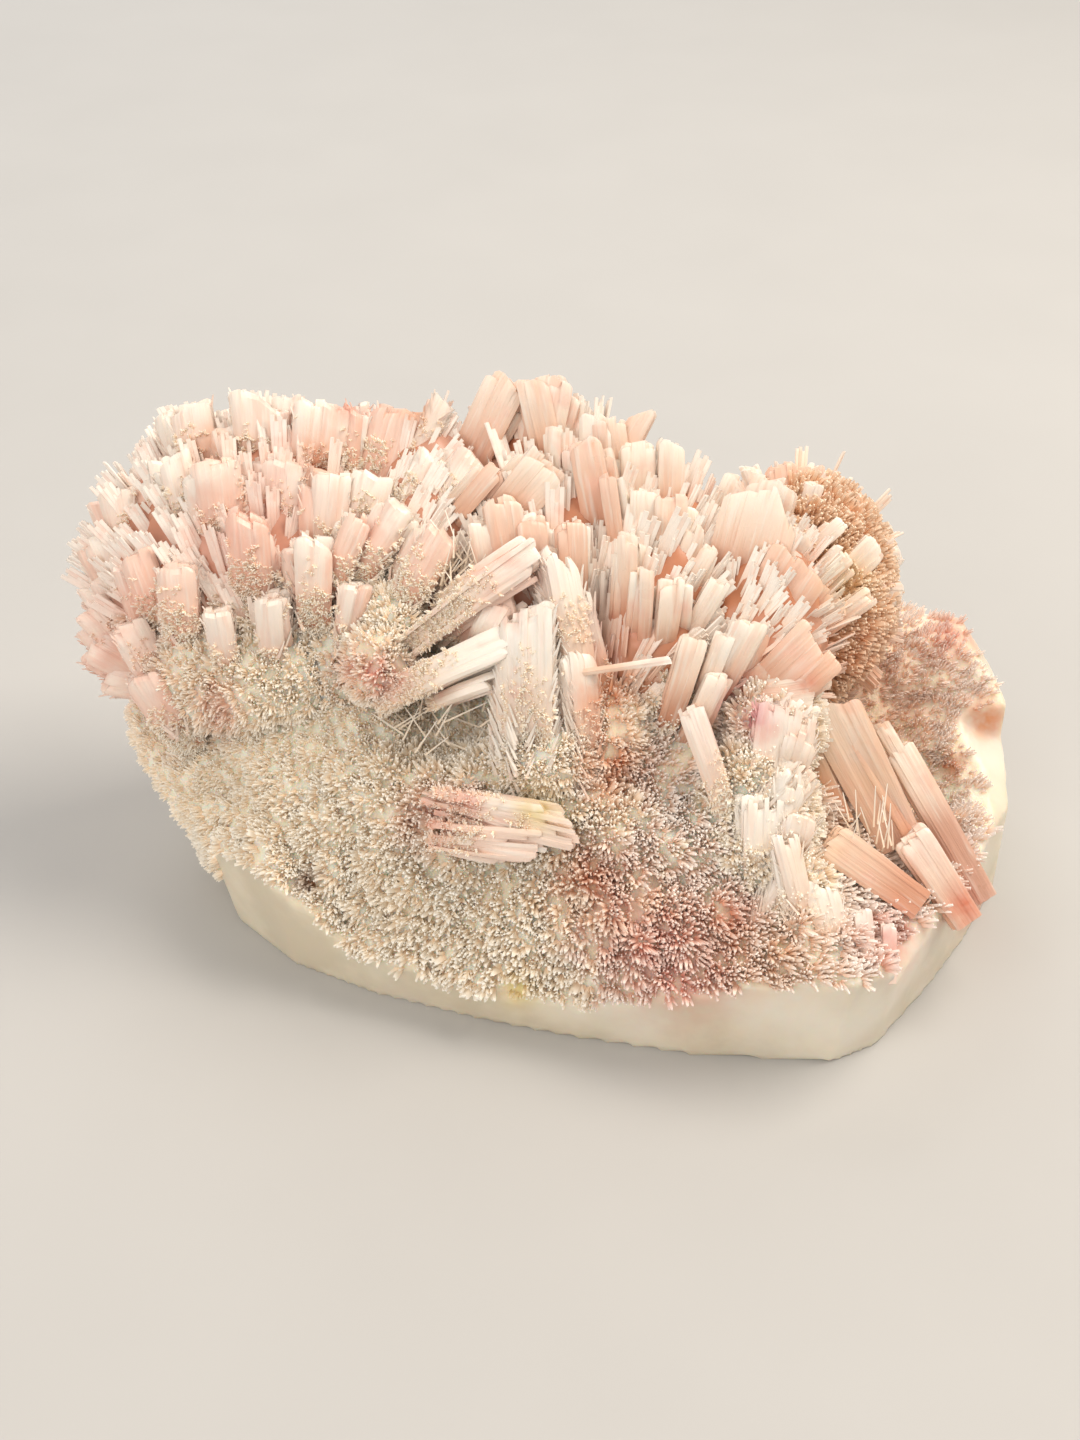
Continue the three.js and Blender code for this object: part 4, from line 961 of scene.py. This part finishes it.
def scattered(name, ground, shape, finish, density, seed, sizes, heart, stand, away, flatten, stray, sink):
    """Runs the scatter on a ground and returns the copies as one plain mesh. Density is per square mm."""
    made = placed(name, ground.data)
    modifier = made.modifiers.new("stand", "NODES")
    modifier.node_group = stand_crystals
    values = {
        "Shape": shape, "Density": density / MM ** 2, "Seed": seed, "Smallest": sizes[0], "Largest": sizes[1],
        "Heart": [v * MM for v in heart], "Stand": stand, "Away": away, "Facing": list(OUT),
        "Flatten": flatten, "Stray": stray, "Sink": -sink * MM, "Finish": finish,
    }
    for item in stand_crystals.interface.items_tree:
        if item.in_out == "INPUT" and item.name in values:
            modifier[item.identifier] = values[item.name]
    mesh = made_plain(made)
    for key in ("room", "tall"):
        if key in mesh.attributes:
            mesh.attributes.remove(mesh.attributes[key])
    mesh.shade_smooth()
    return made


def tuft_shape(name, count, seed, spread, wide, thin):
    """A tuft: one stout needle and thinner ones round it, one unit tall on the origin along +Z."""
    growth = Growth(seed)
    random = growth.random
    for k in range(count):
        angle = 2.4 * k
        lean = spread * math.sqrt(k / (count - 1))
        foot = np.array([math.cos(angle), math.sin(angle), 0]) * lean * 0.5
        height = 1 if k == 0 else random.uniform(0.62, 0.95)
        tip = foot + np.array([math.cos(angle) * lean, math.sin(angle) * lean, height])
        side = np.array([math.cos(angle + 1.2), math.sin(angle + 1.2), 0])
        face = np.cross(np.array([0, 0, 1.0]), side)
        lath(growth, foot, tip, side, face, wide if k == 0 else thin * random.uniform(0.8, 1.2), 0.5)
    return hidden(finished(name, growth))


def sheaf_shape(name, seed, strips, wide, low=0.35):
    """A small blade: flat laths side by side, one unit tall on the origin along +Z, facing +Y."""
    growth = Growth(seed)
    random = growth.random
    for k in range(strips):
        x = (k - (strips - 1) / 2) * wide / strips
        foot = np.array([x * 0.8, 0, 0])
        tip = np.array([x, random.uniform(-0.01, 0.01), random.uniform(0.82, 1)])
        side = turned(np.array([1.0, 0, 0]), (0, 0, 1), random.uniform(-9, 9))
        face = np.cross(np.array([0, 0, 1.0]), side)
        # The feet of the laths start at a reach of low, so they take part of the painted root shade.
        lath(growth, foot, tip, side, face, wide / strips * 1.25, 0.5, kind=FLAT, low=low)
    return hidden(finished(name, growth))


def hidden(made):
    """Keeps a shape of the scatter out of the render."""
    made.hide_render = True
    return made


# The shapes that the scatter repeats, one unit tall.
felt_tuft = tuft_shape("felt_tuft", 4, 1, spread=0.34, wide=0.44, thin=0.32)
fine_tuft = tuft_shape("fine_tuft", 4, 2, spread=0.24, wide=0.27, thin=0.2)
crust_tuft = tuft_shape("crust_tuft", 3, 5, spread=0.34, wide=0.5, thin=0.4)
small_blade = sheaf_shape("small_blade", 3, 4, wide=0.22)
narrow_blade = sheaf_shape("narrow_blade", 4, 2, wide=0.11)

# The matrix and its felt.
stone = stone_piece()
settled(stained(stone), cream_zeolite, "cream_zeolite", "matrix_stone")

# The felt points away from here, inside the stone.
HEART = np.array([0, 12, 6.0])


def zone_ground(name, inside, tall):
    """A copy of the stone that tells the scatter where it may stand and how tall it grows there."""
    mesh = stone.data.copy()
    places = places_of(mesh).astype(float)
    normals = np.array([v.normal for v in mesh.vertices])
    sawn = np.empty(len(places))
    mesh.attributes["sawn"].data.foreach_get("value", sawn)
    steep = np.where(places[:, 0] < -38, -0.35, 0.12)
    room = np.clip(1 - 1.6 * sawn, 0, 1) * inside(places) * (normals[:, 2] > steep) * (places[:, 2] > 3)
    per_corner(mesh, room=room, tall=tall(places))
    return placed(name, mesh)


def edge_step(x, at, soft):
    """Goes from 0 to 1 where x passes a value, over about four times soft."""
    return 1 / (1 + np.exp(-(x - at) / soft))


def wandering(p, size, reach, seed):
    """Moves a boundary to and fro by up to reach millimetres."""
    return reach * np.array([crumpled(place, size, seed) for place in p])


# Where the left field ends and the hollow begins, from left to right, in millimetres.
LEFT_END, HOLLOW_START = -22, 41


def iron_side(p):
    """1 where the needles are stained, right of a boundary that wanders."""
    return edge_step(p[:, 0] + wandering(p, 7, 14, 3), 8, 1.5)


def left_field(p):
    return 1 - edge_step(p[:, 0], LEFT_END, 0.5)


def front_field(p):
    return (1 - iron_side(p)) * edge_step(p[:, 0], LEFT_END, 0.5)


def right_field(p):
    return iron_side(p) * (1 - edge_step(p[:, 0], HOLLOW_START, 0.5))


def hollow_field(p):
    return edge_step(p[:, 0], HOLLOW_START, 0.5)


def taller_in_front(p):
    return 0.75 + 0.5 * edge_step(-p[:, 1], 8, 4)


# The felt of the stone: its tuft, its material, its field, height in millimetres, density and seed.
for name, shape, finish, inside, height, density, seed in (
    ("felt_left", felt_tuft, cream_mordenite, left_field, 1.0, 1.5, 11),
    ("felt_front", felt_tuft, cream_mordenite, front_field, 1.15, 1.2, 12),
    ("felt_right", fine_tuft, pink_mordenite, right_field, 1.4, 1.3, 13),
    ("felt_hollow", fine_tuft, pink_mordenite, hollow_field, 1.4, 1.3, 14),
):
    ground = zone_ground(name + "_ground", inside, taller_in_front)
    felt = scattered(
        name, ground, shape, finish, density, seed, (0.9 * height, 1.9 * height), HEART,
        stand=1, away=0.8, flatten=0, stray=0.16, sink=0.25,
    )
    bpy.data.objects.remove(ground)
    settled(stained(felt), finish, "cream_zeolite")


def sown_roots(name, masses, material, slot, seed, heart, small, crust, felt_finish):
    """The lumpy roots of a spray: small blades over them, and felt round their foot, below crust."""
    druse = DRUSES[material.name]
    roots = mass_piece(name + "_roots", masses, seed)
    height = (places_of(roots.data) - EYE_AIM) @ UP
    # The upper edge of the felt wanders by 2.5 mm. Behind, the blades reach down to the stone.
    wave = 2.5 * np.sin(height * 2.1 + np.arange(len(height)) * 0.013)
    above = edge_step(height + wave, crust, 0.8)
    behind = np.array([v.normal for v in roots.data.vertices]) @ -OUT
    above = np.maximum(above, edge_step(behind, 0.25, 0.1))
    for kind, shape, density, sizes in (
        ("_small_blades", small_blade, 0.12, (11, 17)), ("_narrow_blades", narrow_blade, 0.26, (8, 13)),
    ):
        per_corner(roots.data, room=above, tall=1.0)
        blades = scattered(
            name + kind, roots, shape, druse, density, seed, [v * small for v in sizes], seen(*heart, 0),
            stand=0.16, away=1, flatten=0.8, stray=0.14, sink=6 * small,
        )
        settled(stained(blades), druse, slot)
    # Under the small blades the roots keep the low reach and so the root colour, painted shade; where felt
    # grows they are lighter.
    per_corner(roots.data, room=1 - above, reach=0.12 + 0.6 * (1 - above))
    felt = scattered(
        name + "_felt", roots, felt_tuft, felt_finish, 1.5, seed, (1.1, 2.6), HEART, stand=1, away=0.8,
        flatten=0, stray=0.25, sink=0.3,
    )
    settled(stained(felt), felt_finish, "cream_zeolite")
    settled(stained(roots), material, slot)


def front_of(piece):
    """A copy of a piece with only the faces that nothing of the piece hides from the front."""
    shape = bmesh.new()
    shape.from_mesh(piece.data)
    tree = BVHTree.FromBMesh(shape)
    out = Vector(OUT)
    hidden_faces = [
        face for face in shape.faces
        if face.normal @ out < 0.15 or tree.ray_cast(face.calc_center_median() + out * 0.1 * MM, out)[0]
    ]
    bmesh.ops.delete(shape, geom=hidden_faces, context="FACES")
    mesh = bpy.data.meshes.new(piece.name + "_front")
    shape.to_mesh(mesh)
    shape.free()
    return placed(mesh.name, mesh)


def crusted(name, ground, room, density, sizes, seed, share=1.0, shape=felt_tuft):
    """Fine felt grown over a piece in patches, as thick as room says for each of its corners."""
    places = places_of(ground.data)
    patchy = np.array([crumpled(place, 2.6, seed) for place in places])
    room = np.clip(3 * room - 1 + 2.2 * patchy, 0, 1) * np.minimum(1, 4 * room)
    per_corner(ground.data, room=room, tall=1.0)
    felt = scattered(
        name, ground, shape, cream_mordenite, density, seed, sizes, HEART, stand=1, away=0.5, flatten=0,
        stray=0.4, sink=0.15,
    )
    for key in ("room", "tall"):
        ground.data.attributes.remove(ground.data.attributes[key])
    settled(stained(felt, share), cream_mordenite, "cream_zeolite")


def spray(name, node, crystals, masses, material, slot, seed, heart=(0, 0), teeth=False, small=1.0, crust=0,
          more=0, felted=None, dust=4.0, below=0.3, broad=(0.22, 0.5), felt_finish=cream_mordenite, **style):
    """One spray: its crystals, its lumpy roots and the small crystals that stand on them.

    Each crystal has as many companions as more, of a breadth within broad of its own. Felted is the share of
    felt on the whole crystals, which thickens to dust where their reach is below the given one.
    """
    growth = Growth(seed)
    for one in crystals + companions(crystals, more, seed, broad):
        bundle(growth, one, **style)
        if teeth:
            fringe(growth, one)
    blades = finished(name, growth)
    settled(stained(blades), material, slot, node)
    if felted is not None:
        ground = front_of(blades)
        reach = np.empty(len(ground.data.vertices), np.float32)
        ground.data.attributes["reach"].data.foreach_get("value", reach)
        room = felted + (1 - felted) * edge_step(-reach, -below, 0.08)
        crusted(name + "_crust", ground, room, dust, (0.45, 1.0), seed, shape=crust_tuft)
        bpy.data.objects.remove(ground)
    if masses:
        sown_roots(name, masses, material, slot, seed, heart, small, crust, felt_finish)


mounds = mass_piece("mounds", MOUNDS, 4)
crusted("mound_felt", mounds, 1.0, 1.3, (0.9, 1.9), 41)
settled(stained(mounds), cream_zeolite, "cream_zeolite")

ridge = mass_piece("ridge", RIDGE_MOUNDS, 6)
crusted("ridge_felt", ridge, 1.0, 1.3, (1.0, 2.4), 42, share=0.35)
settled(stained(ridge, 0.35), cream_zeolite, "cream_zeolite")

PINK, PEACH, WHITE = "pink_stilbite", "peach_stilbite", "white_stilbite"
spray(
    "crown_blades", "crown_spray", CROWN, CROWN_MASSES, pink_stilbite, PINK, 21, heart=(6, -6), crust=2,
    small=0.75, more=3, broad=(0.4, 0.9), fray=1.3, strips=(0.9, 3), ridge=0.06, stretch=1.4, dive=8,
)
spray(
    "lobe_columns", "left_lobe", LEFT_LOBE, LOBE_MASSES, blush_stilbite, PINK, 22, heart=(-36, 0), crust=13,
    small=0.62, more=3, broad=(0.4, 0.95), teeth=True, layer=2.2, strips=(1.6, 3.2), fray=1.0, ridge=0.05,
    roundness=0.75, stretch=1.45, dive=10, plump=1.14, felted=0.0, dust=8.0, below=0.45,
)
growth = Growth(37)
for one in PETALS:
    bundle(growth, one, layer=1.6, fray=1.2, strips=(0.8, 3), ridge=0.04, dive=8)
settled(stained(finished("petals", growth)), pink_stilbite, PINK, "plate_fan")
spray(
    "fan_plates", "plate_fan", PLATES, PLATE_MASSES, pink_stilbite, PINK, 23, heart=(20, 0), crust=3,
    small=0.5, more=2, broad=(0.4, 0.8), layer=1.2, fray=1.0, strips=(1.2, 3.4), ridge=0.05, stretch=1.4,
    dive=7,
)
spray(
    "rosette_laths", "rear_rosette", ROSETTE, ROSETTE_MASSES, peach_stilbite, PEACH, 24, heart=(35, 17),
    small=0.6, crust=60, more=1, felt_finish=amber_mordenite,
)
# Crystals that stand without a mass of roots.
for name, node, crystals, material, slot, seed, style in (
    ("roof_bars", "roof_crystals", ROOF, white_stilbite, WHITE, 25, dict(
        layer=2, strips=(0.8, 2.4), ridge=0.14, more=2, fray=2, dive=6, ragged=0.15, felted=0.0,
    )),
    ("roof_slab", "roof_crystals", SLAB, white_stilbite, WHITE, 36, dict(
        teeth=True, layer=1.7, strips=(0.8, 2.2), roundness=0.2, ridge=0.12, fray=1.6, more=5,
        broad=(0.3, 0.7), dive=12, felted=0.0,
    )),
    ("ridge_crystals", "white_ridge", WHITE_RIDGE, white_stilbite, WHITE, 26, dict(
        teeth=True, layer=1.2, more=3, dive=6, felted=0.0, fray=1.8, strips=(0.5, 1.3),
    )),
    ("smear_crystal", "smear_blade", SMEAR, white_stilbite, WHITE, 27, dict(
        layer=1.6, roundness=0.6, more=1, dive=6, felted=0.02,
    )),
    ("splinter_laminae", "white_splinter", SPLINTER, white_stilbite, WHITE, 28, dict(
        layer=0.8, fray=5, strips=(0.5, 1.4), ragged=0.35, more=5, broad=(0.3, 0.7), felted=0.0, stretch=1.25,
        dive=3,
    )),
    ("wide_plate", "hollow_blade_wide", HOLLOW_WIDE, peach_stilbite, PEACH, 29, dict(
        strips=(1.2, 3), more=2,
    )),
    ("long_lath", "hollow_blade_long", HOLLOW_LONG, pink_stilbite, PINK, 30, dict(strips=(1, 2.4))),
    ("low_lath", "hollow_blade_low", HOLLOW_LOW, pink_stilbite, PINK, 31, dict(strips=(1, 2.4), fray=0.5)),
    ("rim_lath", "hollow_blade_rim", HOLLOW_RIM, peach_stilbite, PEACH, 32, dict(strips=(1, 2.4))),
    ("prism_left", "front_prism_left", PRISM_LEFT, white_stilbite, WHITE, 33, dict(fray=0.5)),
    ("prism_middle", "front_prism_middle", PRISM_MIDDLE, white_stilbite, WHITE, 34, dict(fray=0.5)),
    ("prism_right", "front_prism_right", PRISM_RIGHT, white_stilbite, WHITE, 35, dict(fray=0.5)),
    ("cross_bar", "plate_fan", CROSS_BAR, white_stilbite, WHITE, 38, {}),
):
    spray(name, node, crystals, [], material, slot, seed, **style)

growth = Growth(39)
for count, across, up, out, leans in NEEDLES:
    for _ in range(count):
        spot = (growth.random.uniform(*across), growth.random.uniform(*up))
        foot = seen(*spot, out + growth.random.uniform(-3, 2))
        along = pointing(growth.random.uniform(*leans), growth.random.uniform(0, 40))
        side = unit(np.cross(along, OUT))
        tip = foot + along * growth.random.uniform(3.5, 7)
        lath(growth, foot, tip, side, np.cross(along, side), 0.3, 0.3, low=0.5)
settled(stained(finished("loose_needles", growth), 0.5), cream_mordenite, "cream_zeolite")

for shape in (felt_tuft, fine_tuft, crust_tuft, small_blade, narrow_blade):
    bpy.data.objects.remove(shape)


def floor():
    """A plain pale floor of matt card."""
    mesh = bpy.data.meshes.new("floor")
    mesh.from_pydata([(-3, -3, 0), (3, -3, 0), (3, 3, 0), (-3, 3, 0)], [], [(0, 1, 2, 3)])
    material, tree, _, noises = begun("floor_matt_card", mottle=(30, 2, 0.5))
    colour = add(tree, "ShaderNodeMix", {0: noises["mottle"], 6: "BDBCBA", 7: "C2C1BF"}, data_type="RGBA")
    shader = add(tree, "ShaderNodeBsdfPrincipled", {
        "Base Color": colour.outputs[2], "Roughness": 0.8,
    })
    add(tree, "ShaderNodeOutputMaterial", {"Surface": shader.outputs[0]})
    mesh.materials.append(material)
    placed("floor", mesh)


def area_light(name, place, power, size, colour, aim=(0, 0, 0.03)):
    light = bpy.data.lights.new(name, "AREA")
    light.energy, light.size, light.color = power, size, linear(colour)
    made = placed(name, light)
    made.location = place
    made.rotation_euler = (Vector(aim) - Vector(place)).to_track_quat("-Z", "Y").to_euler()


def studio():
    area_light("key", (0.40, 0.10, 0.62), 4.6, 0.45, "FFF4E6")
    area_light("fill", (-0.4, -0.6, 0.6), 4.6, 0.9, "FFF8F0")
    area_light("back", (-0.25, 0.6, 0.5), 1.8, 0.5, "FFFFFF")
    world = bpy.data.worlds.new("studio")
    world.use_nodes = True
    world.node_tree.nodes["Background"].inputs[0].default_value = (*linear("F2EEE8"), 1)
    world.node_tree.nodes["Background"].inputs[1].default_value = 0.5
    bpy.context.scene.world = world
    bpy.context.scene.view_settings.view_transform = "Standard"


def camera():
    made = placed("camera", bpy.data.cameras.new("camera"))
    made.data.lens = 50
    made.data.sensor_width = 36
    aim = Vector(EYE_AIM) * MM
    away = Vector(OUT) * EYE_DISTANCE * MM
    made.location = aim + away
    made.rotation_euler = (-away).to_track_quat("-Z", "Y").to_euler()
    bpy.context.scene.camera = made


floor()
studio()
camera()
